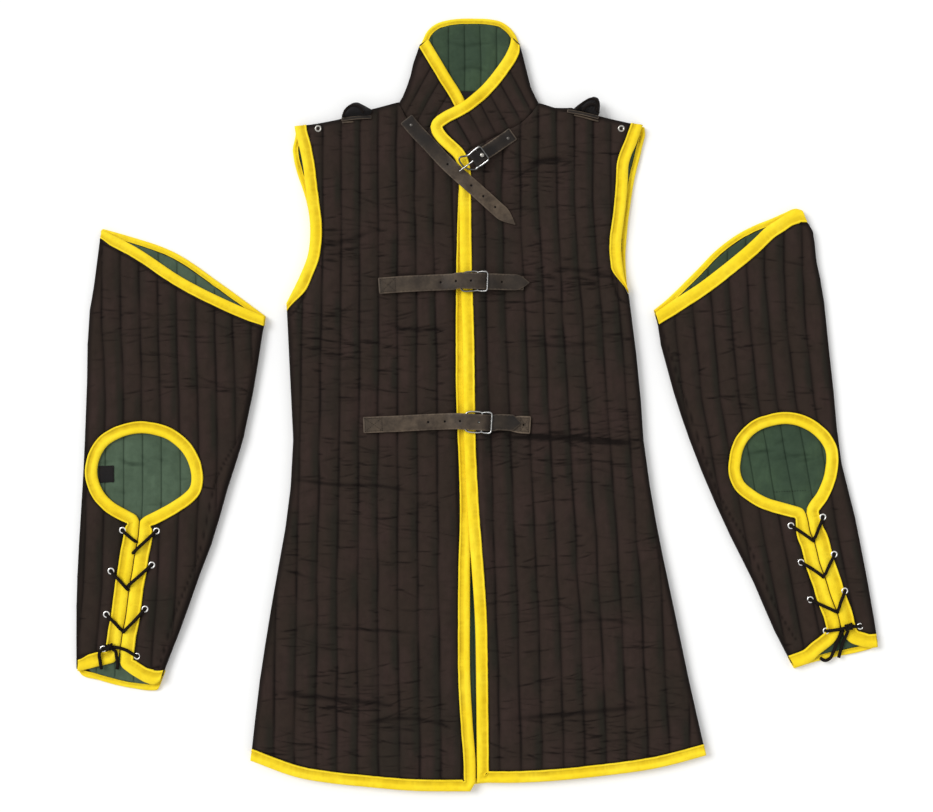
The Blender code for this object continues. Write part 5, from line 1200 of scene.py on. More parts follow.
def widerBelow(high, low, extra, headWide):  # the bands at the slit and the cuff are broader
    def wider(points):
        return extra * ease(-points[:, 1], high, low) + max(headWide - 18, 0) * ease(points[:, 1], 60, 100)

    return wider


sleeveTops = {}
for side, cut in sleeveCuts.items():
    name = "sleeve_" + side + "_"
    outer, inner = smoothLine(cut["outer"], 50), smoothLine(cut["inner"], 50)
    cuffOuter, cuffInner = cut["cuffOuter"], cut["cuffInner"]
    first, second, cuffFirst, cuffSecond = outer, inner, cuffOuter, cuffInner
    if side == "left":
        first, second, cuffFirst, cuffSecond = inner, outer, cuffInner[::-1], cuffOuter[::-1]

    def openingLine(cuffStep, slitStep, holeStep):
        slit, hole = smoothLine(cut["slit"], slitStep), smoothLine(cut["hole"], holeStep)
        up, down = offsetLine(slit[::-1], 0.6), offsetLine(slit, 0.6)
        return joinStretches([smoothLine(cuffFirst, cuffStep), up[1:], hole[1:-1], down[:-1],
                              smoothLine(cuffSecond, cuffStep), [cuffSecond[-1]]])

    head, headBack = smoothLine(cut["head"], 30)[::-1], smoothLine(cut["headBack"], 30)[::-1]
    back = [("seam", first), ("tape", smoothLine(cut["cuffBack"], 30)),
            ("seam", second[::-1]), ("tape", headBack)]
    channels = channelsOf(dict(cut["grain"], pitch=(28,) * 6), 1)
    wall = flatWall(name + "back", back, layers["sleeveBack"], tape["sleeveHigh"], channels,
                    (-7, 8), "shell", 111, 1.9)
    inside = quiltedLining(name + "lining", drawnIn(back, {"tape": 9.7, "seam": 16}), {
        "channels": channels, "numbers": (-7, 8), "top": 7.3, "drop": 1.5, "folds": 150,
        "seed": 113, "rowStep": 3.0,
        "slot": "lining", "material": cut["lining"], "creases": cut["liningCreases"]})
    if "sewn" in cut:
        row = evenLine(cut["sewn"], 1.5)
        stitchLines["quilt"].append(np.column_stack([row, np.full(len(row), 7.45)]))
    wider = widerBelow(168, 200, 3.2, cut["headWide"])
    edges = [("seam", first), ("tape", openingLine(4, 34, 22)), ("seam", second[::-1]), ("tape", head)]
    panel = quiltedPanel(name + "front", edges, {
        "channels": channels, "numbers": (-7, 8), "floor": layers["sleeveFloor"], "seam": 3.8, "crest": 6.4,
        "tapeHigh": tape["sleeveHigh"], "folds": 330, "seed": 117 + len(side),
        "slot": "shell", "material": shellCloth,
        "zones": cut["zones"], "seamLines": [(cut["underarm"], 1.5, 2.2)], "tight": 0.95,
        "line": 0.60, "soft": 0.34,
        "wider": wider})
    high = tape["sleeveHigh"]
    ways = cut["tapeEnds"]
    opening = foldedTape(name + "binding_opening", openingLine(4, 4, 4), layers["sleeveFloor"], high, 18, 12,
                         seed=121, ends=ways["opening"], wider=lambda line: wider(line) * (line[:, 1] < 0))
    foldedTape(name + "binding_head", smoothLine(cut["head"], 4)[::-1], layers["sleeveFloor"], high,
               cut["headWide"], 12, seed=122, ends=ways["head"], plain=0.45)
    foldedTape(name + "binding_head_back", smoothLine(cut["headBack"], 4)[::-1], 0, high, 9, 18, seed=123,
               ends=ways["head"], plain=0.45)
    cuff = foldedTape(name + "binding_cuff_back", smoothLine(cut["cuffBack"], 4), 0, high, 9, 18, seed=124,
                      ends=ways["cuff"], plain=0.6)
    sleeveTops[side] = [panel, opening, cuff, inside, wall]
print("sleeves made")

# What lies on the cloth
def topOf(pieces):  # asks for the highest point of some pieces at a place
    bpy.context.view_layer.update()
    graph = bpy.context.evaluated_depsgraph_get()
    trees = [BVHTree.FromObject(piece, graph) for piece in pieces]

    def top(x, y, bare=0.0):
        start = Vector(((x + tableShift[0]) * 0.001, (y + tableShift[1]) * 0.001, 1.0))
        hits = [tree.ray_cast(start, Vector((0, 0, -1)))[0] for tree in trees]
        return max([bare] + [hit.z * 1000 for hit in hits if hit is not None])

    return top


def beside(line):
    run = np.gradient(np.asarray(line, float)[:, :2], axis=0)
    run /= np.maximum(np.linalg.norm(run, axis=1), 1e-9)[:, None]
    return np.column_stack([-run[:, 1], run[:, 0]])


def restOn(top, line, wide, reach, soft=0.6):  # the height at which a band of some stiffness lies
    line = np.asarray(line, float)
    along = runAlong(line[:, :2])
    off = np.linspace(-wide / 2, wide / 2, 5)
    high = np.array([max(top(*(p[:2] + s * a)) for a in off) for p, s in zip(line, beside(line))])
    high = np.array([high[np.abs(along - a) <= reach].max() for a in along])
    return np.array([high[np.abs(along - a) <= reach * soft].mean() for a in along])


def tubeOf(path, wide, high=None, sides=10, closed=False, carried=False):
    path = np.asarray(path, float)
    count = len(path)
    wide = np.broadcast_to(wide, count).astype(float)
    high = wide if high is None else np.broadcast_to(high, count).astype(float)
    ahead = np.roll(path, -1, axis=0) - np.roll(path, 1, axis=0) if closed else np.gradient(path, axis=0)
    ahead /= np.linalg.norm(ahead, axis=1)[:, None]
    side = np.cross(ahead, (0, 0, 1))
    if carried:  # handed on from ring to ring, so that the tube doesn't twist
        start = side[0] if np.linalg.norm(side[0]) > 0.05 else np.cross(ahead[0], (0.3, 1, 0))
        kept = [start / np.linalg.norm(start)]
        for direction in ahead[1:]:
            moved = kept[-1] - direction * (kept[-1] @ direction)
            kept.append(moved / np.linalg.norm(moved))
        side = np.array(kept)
    side /= np.maximum(np.linalg.norm(side, axis=1), 1e-9)[:, None]
    up = np.cross(side, ahead)
    angles = np.linspace(0, 2 * math.pi, sides, endpoint=False)
    points = (path[:, None] + side[:, None] * np.cos(angles)[None, :, None] * wide[:, None, None] / 2
              + up[:, None] * np.sin(angles)[None, :, None] * high[:, None, None] / 2).reshape(-1, 3)
    r, k = np.meshgrid(np.arange(count if closed else count - 1), np.arange(sides), indexing="ij")
    a, b = (r * sides + k).ravel(), (r * sides + (k + 1) % sides).ravel()
    c, d = ((r + 1) % count * sides + k).ravel(), ((r + 1) % count * sides + (k + 1) % sides).ravel()
    faces = [np.column_stack([a, d, b]), np.column_stack([a, c, d])]
    if not closed:
        last, k = (count - 1) * sides, np.arange(1, sides - 1)
        faces += [np.column_stack([0 * k, k, k + 1]), np.column_stack([last + 0 * k, last + k + 1, last + k])]
    along = runAlong(path) * 0.001
    uv = np.column_stack([np.repeat(along, sides), np.tile(np.arange(sides) / sides, count)])
    return points, np.vstack(faces), uv


def roundEnds(path, wide):  # a cord's ends close in over their last few points
    path = np.asarray(path, float)
    first, last = path[0] - path[1], path[-1] - path[-2]
    first, last = first / np.linalg.norm(first), last / np.linalg.norm(last)
    caps = ((0.0, 0.45), (0.12, 0.78), (0.3, 0.94))
    line = [path[0] + first * wide * (0.42 - share) for share, _ in caps]
    line += list(path[1:-1]) + [path[-1] + last * wide * (0.42 - share) for share, _ in caps[::-1]]
    width = [size * wide for _,
             size in caps] + [wide] * (len(path) - 2) + [size * wide for _, size in caps[::-1]]
    return np.array(line), np.array(width)


def cordTube(path, wide, sides):
    path, width = roundEnds(path, wide)
    return tubeOf(path, width, sides=sides, carried=True)


# Leather
leatherCut = {"strapThick": 2.4, "holder": 20.5, "holderThick": 1.8, "holeRound": 1.75, "grid": 4.0,
              "edge": 0.55, "stitchIn": 2.6}


def leatherBand(name, path, wide, thick, node, holes=(), slots=(), tip=0.0, side=None, corner=1.6, dents=(),
                point=1.9, darkened=((0, 0), (1, 0)), worn=0.45, flare=0.0):
    # path is the middle of the underside; holes, slots and the (place, share) table of darker stretches count
    # along it
    path = np.asarray(path, float)
    along = runAlong(path)
    run = np.gradient(path, axis=0)
    run /= np.linalg.norm(run, axis=1)[:, None]
    across = np.cross(run, (0, 0, 1)) if side is None else np.tile(np.append(side, 0.0), (len(path), 1))
    across /= np.linalg.norm(across, axis=1)[:, None]
    up = np.cross(across, run)
    long, half = along[-1], wide / 2

    def place(at, off, high):
        at = np.clip(np.asarray(at, float), 0, long)
        off = np.asarray(off, float) * (1 + flare * (1 - ease(at, 14, 34)))
        spots = [np.column_stack([np.interp(at, along, value[:, k]) for k in range(3)])
                 for value in (path, across, up)]
        return spots[0] + spots[1] * np.reshape(off, (-1, 1)) + spots[2] * np.reshape(high, (-1, 1))

    outline = [(0, half - corner), (0, -half + corner), (corner * 0.3, -half + corner * 0.3), (corner, -half)]
    body = long - tip
    outline += [(x, -half) for x in np.arange(6.0, body - 3, 6.0)]
    if tip:
        t = np.linspace(0, 1, 10)
        bow = half * (1 - t**point)
        outline += list(zip(body + tip * t[:-1], -bow[:-1])) + [(long, -0.9), (long, 0.9)]
        outline += list(zip(body + tip * t[:-1][::-1], bow[:-1][::-1]))
    else:
        outline += [(long - corner, -half), (long - corner * 0.3, -half + corner * 0.3),
                    (long, -half + corner),
                    (long, half - corner), (long - corner * 0.3, half - corner * 0.3), (long - corner, half)]
    outline += [(x, half) for x in np.arange(6.0, body - 3,
                                             6.0)[::-1]] + [(corner, half),
                                                            (corner * 0.3, half - corner * 0.3)]
    outline = np.array(outline)
    closed = closedLine(outline)
    turn = np.linspace(0, 2 * math.pi, 12, endpoint=False)[::-1]
    loops = [np.column_stack([x + r * np.cos(turn), y + r * np.sin(turn)]) for x, y, r in holes]
    for x, slotLong, slotWide in slots:
        loops.append(np.column_stack([x + slotLong / 2 * np.clip(1.35 * np.cos(turn), -1, 1),
                                      slotWide / 2 * np.clip(1.35 * np.sin(turn), -1, 1)]))
    x, y = np.meshgrid(np.arange(2.0, long, leatherCut["grid"]), np.linspace(-half, half, 9)[1:-1])
    spots = [np.column_stack([x.ravel(), y.ravel()]), offsetLine(closed, 0.7), offsetLine(closed, 1.7)]
    spots += [loop.mean(axis=0) + (loop - loop.mean(axis=0)) * 1.45 for loop in loops]
    inner = np.vstack(spots)
    inner = inner[insideOutline(inner, outline) & (distanceTo(inner, closed) > 0.5)]
    for loop in loops:
        inner = inner[distanceTo(inner, closedLine(loop)) > 0.45]
        inner = inner[~insideOutline(inner, loop)]
    flat, tri, ring, _ = triangulate(outline, inner, loops)
    edge = distanceTo(flat, closed)
    top = thick - leatherCut["edge"] * (1 - np.clip(edge / 1.3, 0,
                                                    1)) ** 2 - 0.10 * (1 - np.clip(edge / 5, 0, 1))
    under = 0.35 * (1 - np.clip(edge / 1.2, 0, 1)) ** 2
    for loop in loops:
        top = top - 0.35 * np.exp(-(distanceTo(flat, np.vstack([loop, loop[:1]])) / 0.7) ** 2)
    for line in dents:
        top = top - 0.25 * np.exp(-(distanceTo(flat, np.asarray(line, float)) / 0.8) ** 2)
    top = top + 0.12 * cloudy(flat, 17, 9, 5)
    high, low = place(flat[:, 0], flat[:, 1], top), place(flat[:, 0], flat[:, 1], under)
    shift = len(flat)
    a, b = np.array(ring).T
    faces = np.vstack([tri[:, [0, 2, 1]], tri + shift, np.column_stack([a, a + shift, b + shift])[:, ::-1],
                       np.column_stack([a, b + shift, b])[:, ::-1]])
    points = np.vstack([high, low])
    wear = np.concatenate([worn * (1 - np.clip((edge - 0.2) / 0.9, 0, 1)), np.zeros(shift)])
    # darker stretches from the table; past a buckle, where the strap dips away, this is painted shade
    dark = np.interp(flat[:, 0], *zip(*darkened)) * (1 + 0.25 * cloudy(flat, 23, 11, 6))
    piece = putMesh(name, points, outward(points, faces), strapLeather, wear, sharp=50,
                    dusk=np.clip(np.tile(dark, 2), 0, 1))
    return dress(piece, "leather", node), place


def sewOn(place, thick, lines):  # thread lines on a band, in its own lengths and widths
    for line in lines:
        line = evenLine(line, 1.2)
        stitchLines["strap"].append(place(line[:, 0], line[:, 1], np.full(len(line), thick + 0.05)))


def boxAndCross(start, end, half):
    return [[(start, -half), (end, -half), (end, half), (start, half), (start, -half)],
            [(start, -half), (end, half)], [(start, half), (end, -half)]]


# frame: bar to round end, bar to square end, room beside the strap, bend of the round end, prong past it
# darkened tables give (place along, share of the dark tone); on the chest and waist straps the rise past the
# buckle is painted shade
closures = {
    "neck": {"strap": [(-106, 428), (-98, 418), (-70, 388), (-43, 359), (-8, 327), (27, 296), (57, 270)],
             "holder": (54, 406), "bar": (-4.7, 364), "wide": 21.5, "threaded": False,
             "tip": 27.0, "point": 1.55,
             "frame": (18.0, 19.5, 3.0, -7.0, 9.0), "fold": 19.0, "darkenedFrame": (0.8, 0.7),
             "holes": [(448.5, 165.5), (471.5, 187), (483, 197.5), (495, 208)], "dull": [(412, 126)],
             "holderDull": (508, 139), "holderBright": (482, 157), "holderWorn": 0.8,
             "holderDarkened": ((0, 0.95), (40, 0.88), (70, 0.95)),
             "darkened": ((0, 0.95), (40, 0.8), (90, 0.45), (130, 0.05), (200, 0))},
    "chest": {"strap": [(-147, 178), (-120, 180), (-60, 183), (-20, 184), (20, 184), (78, 183)],
              "holder": (70, 182), "bar": (1, 184.6), "wide": 24.0, "threaded": True,
              "tip": 22.0, "point": 1.8,
              "frame": (26.0, 14.5, 5.0, 2.0, 3.0), "fold": 3.0, "sewn": (3, 25), "darkenedFrame": (0.55, 0.35),
              "holes": [(441.4, 283.9), (456.9, 282.3), (472.7, 281.4), (489.3, 282.8), (504.5, 283)],
              "holderDarkened": ((0, 0.45), (70, 0.7)),
              "darkened": ((0, 0.5), (60, 0.38), (130, 0.45), (162, 0.58), (172, 0.75), (230, 0.7))},
    "waist": {"strap": [(-170, -30), (-120, -28), (-60, -25), (-20, -24), (20, -25), (66, -27)],
              "holder": (80, -30), "bar": (7, -26), "wide": 24.0, "threaded": True,
              "tip": 13.0, "point": 1.25,
              "frame": (26.0, 14.5, 6.8, 0.0, 3.0), "fold": 3.0, "sewn": (3, 28), "darkenedFrame": (0.0, 0.0),
              "holderHole": (523, 425.5),
              "holderWorn": 0.9, "flare": 0.27,
              "holes": [(428.8, 422.3), (444.9, 421.7), (462.1, 421), (479, 421.7)],
              "holderDarkened": ((0, 0.12), (16, 0.2), (30, 0.8)),
              "darkened": ((0, 0.3), (60, 0.1), (120, 0.2), (180, 0.35), (192, 0.85), (240, 0.85))},
}
buckle = {"wire": 2.7, "prongWire": 2.3, "barHigh": 3.8, "rise": 0.20, "turn": 3.6,
          "overBar": 7.9, "overRound": 5.8,
          "pinch": 1.1}
cloth = topOf(frontPieces)


drawing = {"across": 477, "down": 405, "step": 1.5}


def tableOf(spot):  # a place on the table drawing, from the middle of the garment
    return np.array([(spot[0] - drawing["across"]) * drawing["step"],
                     (drawing["down"] - spot[1]) * drawing["step"]])


def roundedLoop(corners, radii, steps):
    out = []
    corners = np.asarray(corners, float)
    for i, corner in enumerate(corners):
        into, onward = corner - corners[i - 1], corners[(i + 1) % len(corners)] - corner
        a = corner - into / np.linalg.norm(into) * radii[i]
        b = corner + onward / np.linalg.norm(onward) * radii[i]
        out += [(1 - t) ** 2 * a + 2 * t * (1 - t) * corner + t * t * b for t in np.linspace(0, 1, steps)]
    return np.array(out)


def smoothOver(values, along, reach):
    return np.array([values[np.abs(along - a) <= reach].mean() for a in along])


studs = {"bright": [], "dull": [], "floor": []}
for which, cut in closures.items():
    bar, farEnd, wide = np.array(cut["bar"], float), np.array(cut["holder"], float), cut["wide"]
    toward = (bar - farEnd) / np.linalg.norm(bar - farEnd)
    beyond = np.array([-toward[1], toward[0]])
    length, square, room, bend, past = cut["frame"]
    frameWide = wide + room
    top = cloth

    def addStrap(line, high):
        along = runAlong(line)
        spots = [along[nearestTo(line, tableOf(hole))] for hole in cut["holes"]]
        seams = boxAndCross(*cut["sewn"], wide / 2 - leatherCut["stitchIn"]) if cut["threaded"] else []
        strap, place = leatherBand(which + "_strap", np.column_stack([line, high]), wide,
                                   leatherCut["strapThick"],
                                   which + "_strap", [(at, 0, leatherCut["holeRound"]) for at in spots],
                                   tip=cut["tip"], dents=seams, point=cut["point"], darkened=cut["darkened"])
        sewOn(place, leatherCut["strapThick"], seams)
        # dark discs at the bottom of the holes: painted shade in the holes
        studs["floor"] += [place([at], [0], [0.15])[0] for at in spots[:4 if which == "neck" else -1]]
        for spot in cut.get("dull", ()):
            at = along[nearestTo(line, tableOf(spot))]
            studs["dull"].append(place([at], [0], [leatherCut["strapThick"]])[0])
        return strap

    if not cut["threaded"]:
        line = evenLine(smoothLine(cut["strap"], 4), 3)
        top = topOf(frontPieces + [addStrap(line, restOn(cloth, line, wide, 10) + 0.35)])
    base = max(top(*(bar + toward * t + beyond * s)) for t in np.linspace(-20, 30, 11)
               for s in np.linspace(-frameWide / 2 - 2, frameWide / 2 + 2, 7)) + 0.3

    def frameHigh(t):
        fall = buckle["barHigh"] + t / length * (buckle["wire"] / 2 - buckle["barHigh"])
        return fall if t > 0 else buckle["barHigh"] - t * buckle["rise"]

    def placed(t, s, high):
        return (*(bar + toward * t + beyond * s), base + high)

    half = frameWide / 2
    loop = roundedLoop([(length, -half), (length, half), (-square, half), (-square, -half)],
                       (11, 11, 4, 4), 9)
    loop = evenLine(np.vstack([loop, loop[:1]]), 2.2)[:-1]
    nip = buckle["pinch"] * np.exp(-(loop[:, 0]
                                     / 3.2) ** 2) * np.sign(loop[:, 1]) * (np.abs(loop[:, 1]) > half - 2)
    thin = np.where(loop[:, 0] < -square + 1.5, 0.78, 1.0) * buckle["wire"]
    lean = bend * ease(loop[:, 0], 3.5, length)
    ring = [placed(t, s - n + move, frameHigh(t)) for (t, s), n, move in zip(loop, nip, lean)]
    bars = [placed(0, s, buckle["barHigh"]) for s
            in np.linspace(-half + buckle["pinch"], half - buckle["pinch"], 9)]
    shells = [tubeOf(ring, thin, thin * 0.82, sides=12, closed=True)[:2], tubeOf(bars, 2.3, sides=10)[:2]]
    tipHigh = buckle["prongWire"] / 2 + buckle["wire"] - 0.5
    curl = [placed(2.45 * math.cos(a), 0, buckle["barHigh"] + 2.45 * math.sin(a)) for a
            in np.radians(range(200, 20, -20))]
    rise = [placed(5.5, 0, buckle["barHigh"] + 1.1), placed(length * 0.45, 0, buckle["barHigh"] + 0.5),
            placed(length * 0.7, 0, tipHigh + 0.9), placed(length - 3, 0, tipHigh + 0.35),
            placed(length, 0, tipHigh),
            placed(length + past, 0, tipHigh - 0.5)]
    prong = evenLine(smoothLine(np.array(curl[::2] + rise), 1.5), 1.4)
    prongWide = np.interp(np.linspace(0, 1, len(prong)), [0, 0.2, 0.8, 1],
                          [0.85, 1, 0.95, 0.55]) * buckle["prongWire"]
    shells.append(tubeOf(prong, prongWide, sides=10, carried=True)[:2])
    points, faces = joinShells(shells)
    # the frame made darker towards its round end and its square end, by the listed shares
    darkenedFrame = cut["darkenedFrame"][0] * ease(loop[:, 0], 2,
                                     6) + cut["darkenedFrame"][1] * ease(-loop[:, 0], square - 3, square - 1)
    darkenedFrame = np.concatenate([np.repeat(darkenedFrame, 12), np.zeros(len(points) - 12 * len(loop))])
    dress(putMesh(which + "_buckle", points, faces, brightChrome, sharp=60, dusk=darkenedFrame),
          "chrome", which + "_buckle")

    thick, turn = leatherCut["holderThick"], buckle["turn"]
    line = evenLine([farEnd, bar - toward * 5], 3)
    high = restOn(top, line, leatherCut["holder"], 10) + 0.5
    nearBar = ease(np.linalg.norm(line - bar, axis=1), 20, 28)
    high = base + (np.maximum(high, base * (high > base) + high * (high <= base)) - base) * nearBar
    wrap = [placed(math.cos(a) * turn, 0, buckle["barHigh"] + math.sin(a) * turn) for a
            in np.radians(range(-75, 76, 15))]
    back = [placed(-0.8, 0, buckle["barHigh"] + turn), placed(-2.2, 0, buckle["barHigh"] + turn - 0.05),
            placed(-3, 0, buckle["barHigh"] + turn - 0.15)]
    if cut["fold"] > 4:
        back = [placed(-1.5, 0, 7.2), placed(-4, 0, 6.1), placed(-6.5, 0, 4.8), placed(-9, 0, 4.0),
                placed(-cut["fold"], 0, 3.8)]
    path = np.vstack([np.column_stack([line, high]),
                      [placed(-2.5, 0, 0.05), placed(0, 0, buckle["barHigh"] - turn)], wrap,
                      back])
    path = evenLine(path, 1.5)
    along = runAlong(path)
    atBar = along[np.argmax((path[:, :2] - bar) @ toward)]
    pierced = []
    if "holderHole" in cut:
        at = along[nearestTo(path[:, :2], tableOf(cut["holderHole"]))]
        pierced = [(at, 0, 1.3)]
    inset = leatherCut["holder"] / 2 - leatherCut["stitchIn"]
    seams = boxAndCross(3, 15, inset) if cut["threaded"] else [[(3, -inset), (3, inset)]]
    holder, place = leatherBand(which + "_holder", path, leatherCut["holder"], thick,
                                which + "_holder", pierced,
                                [(atBar, 9.5, 4.6)], side=np.array([-beyond[0], -beyond[1]]), dents=seams,
                                darkened=cut["holderDarkened"], worn=cut.get("holderWorn", 0.45),
                                flare=cut.get("flare", 0.0))
    sewOn(place, thick, seams)
    if not cut["threaded"]:
        spot = tableOf(cut["holderDull"])
        studs["dull"].append((*spot, high[nearestTo(line, spot)] + thick))
        studs["bright"].append((*tableOf(cut["holderBright"]), base + 3.8 + thick))
        continue
    line = smoothLine(cut["strap"], 3)
    along = (line - bar) @ toward
    line = np.vstack([line[np.abs(along - 6) > 26], bar + np.outer(np.linspace(30, -18, 25), toward)])
    line = evenLine(line[np.argsort((bar - line) @ toward)], 2.5)
    along = (line - bar) @ toward
    rest = restOn(topOf(frontPieces + [holder]), line, wide, 8, 0.8) + 0.3
    over = base + np.interp(along, [-square + 4, -5, 4, length + 4, length + 24],
                            [0, buckle["overBar"], buckle["overBar"], buckle["overRound"], -3])
    passed = along < -square + 5
    rest = np.where(passed & (along > -square - 12), base + thick + 0.3, rest)
    high = np.where(passed, rest, np.maximum(rest, over))
    addStrap(line, np.maximum(smoothOver(high, along, 3.5), rest - 0.05))
print("closures made")

# Shoulders
shoulders = {
    "right": {"tab": [(-203, 427), (-180, 430), (-158, 431)], "second": [(-201, 423), (-186, 424)],
              "tuft": [(-203, 430), (-199, 438), (-193, 447), (-186, 452), (-179, 453), (-172, 450),
                       (-163, 445), (-157, 441), (-160, 435),
                       (-182, 432)], "high": 12.5, "ridge": 0.25, "rough": 0.35},
    "left": {"tab": [(135, 440), (158, 436), (182, 430)], "second": [(146, 434), (166, 429), (181, 425)],
             "tuft": [(145, 444), (152, 450), (160, 455), (168, 459), (175, 462), (181, 460), (184, 453),
                      (184, 444), (182, 434), (163, 438)], "high": 14.5, "ridge": 0.95, "rough": 1.0},
}
shoulderLace = {"wide": 4.4, "thong": 2.6, "sunk": 0.28, "step": 2.2}
for side, cut in shoulders.items():
    shells = []
    line = evenLine(smoothLine(cut["tab"], 3), 3)
    rest = restOn(cloth, line, 6, 14) + 0.3
    leatherBand("shoulder_tab_" + side, np.column_stack([line, np.full(len(line), rest.max())]), 4.8, 2.4,
                "shoulder_tab_" + side, corner=0.8, darkened=((0, 0.85), (1, 0.85)), worn=0.9)
    outline = evenLine(np.vstack([smoothLine(cut["tuft"] + cut["tuft"][:1], 3)]), 2.2)[:-1]
    if twiceArea(outline) < 0:
        outline = outline[::-1]
    closed = closedLine(outline)
    floorHigh = max(cloth(*p) for p in outline) + 0.3
    tilt, ridge = cut["ridge"], np.array([math.cos(cut["ridge"]), math.sin(cut["ridge"])])

    def bundle(points):  # folds of lace side by side under the knot
        far = distanceTo(points, closed)
        across = points @ np.array([-ridge[1], ridge[0]]) + 1.6 * cloudy(points, 11, 11, 7)
        dome = np.sin(np.clip(far / 9.5, 0, 1) * math.pi / 2) ** 0.8
        folds = np.abs(np.sin(across * math.pi / 4.4)) ** 0.7
        return floorHigh + 1.2 + (cut["high"] - 3.2) * dome + cut["rough"] * dome * (2.2 * folds - 0.6)

    def bundleShade(points):
        across = points @ np.array([-ridge[1], ridge[0]]) + 1.6 * cloudy(points, 11, 11, 7)
        return 0.8 * cut["rough"] * np.exp(-(np.sin(across * math.pi / 4.4) / 0.35) ** 2)

    inner = gridInside(outline, 1.4, 0.9)
    piece = wallBetween("shoulder_tie_" + side, outline, np.empty((0, 2)), inner,
                        lambda p: np.full(len(p), floorHigh), bundle, neckTapeCloth, bundleShade)
    dress(piece, "lace", "shoulder_tie_" + side)
    loops = {"right": [[(-200, 432), (-196, 441), (-187, 447), (-176, 445), (-170, 436)]],
             "left": [[(150, 443), (160, 452), (172, 457), (180, 452), (178, 440)],
                      [(158, 441), (168, 448), (176, 447), (181, 437)]]}[side]
    for number, loopLine in enumerate(loops):
        path = evenLine(smoothLine(loopLine, 2), shoulderLace["step"])
        lifted = topOf([piece])
        high = np.array([max(lifted(*p), rest.max() + 1.0) for p in path])
        high = smoothOver(high, np.arange(len(path)) * shoulderLace["step"],
                          4.5) + shoulderLace["wide"] * shoulderLace["sunk"]
        points, faces, uv = cordTube(np.column_stack([path, high]), shoulderLace["wide"], 9)
        dress(putMesh("shoulderLoop_" + side + str(number + 1), points, outward(points, faces),
                      laceBraid, uv=uv), "lace")
    second = evenLine(smoothLine(cut["second"], 2), 2.5)
    high = restOn(cloth, second, 4, 8) + 1.0
    points, faces, uv = cordTube(np.column_stack([second, high]), shoulderLace["thong"], 8)
    dress(putMesh("shoulderThong_" + side, points, outward(points, faces), strapLeather, uv=uv), "leather")
print("shoulders made")

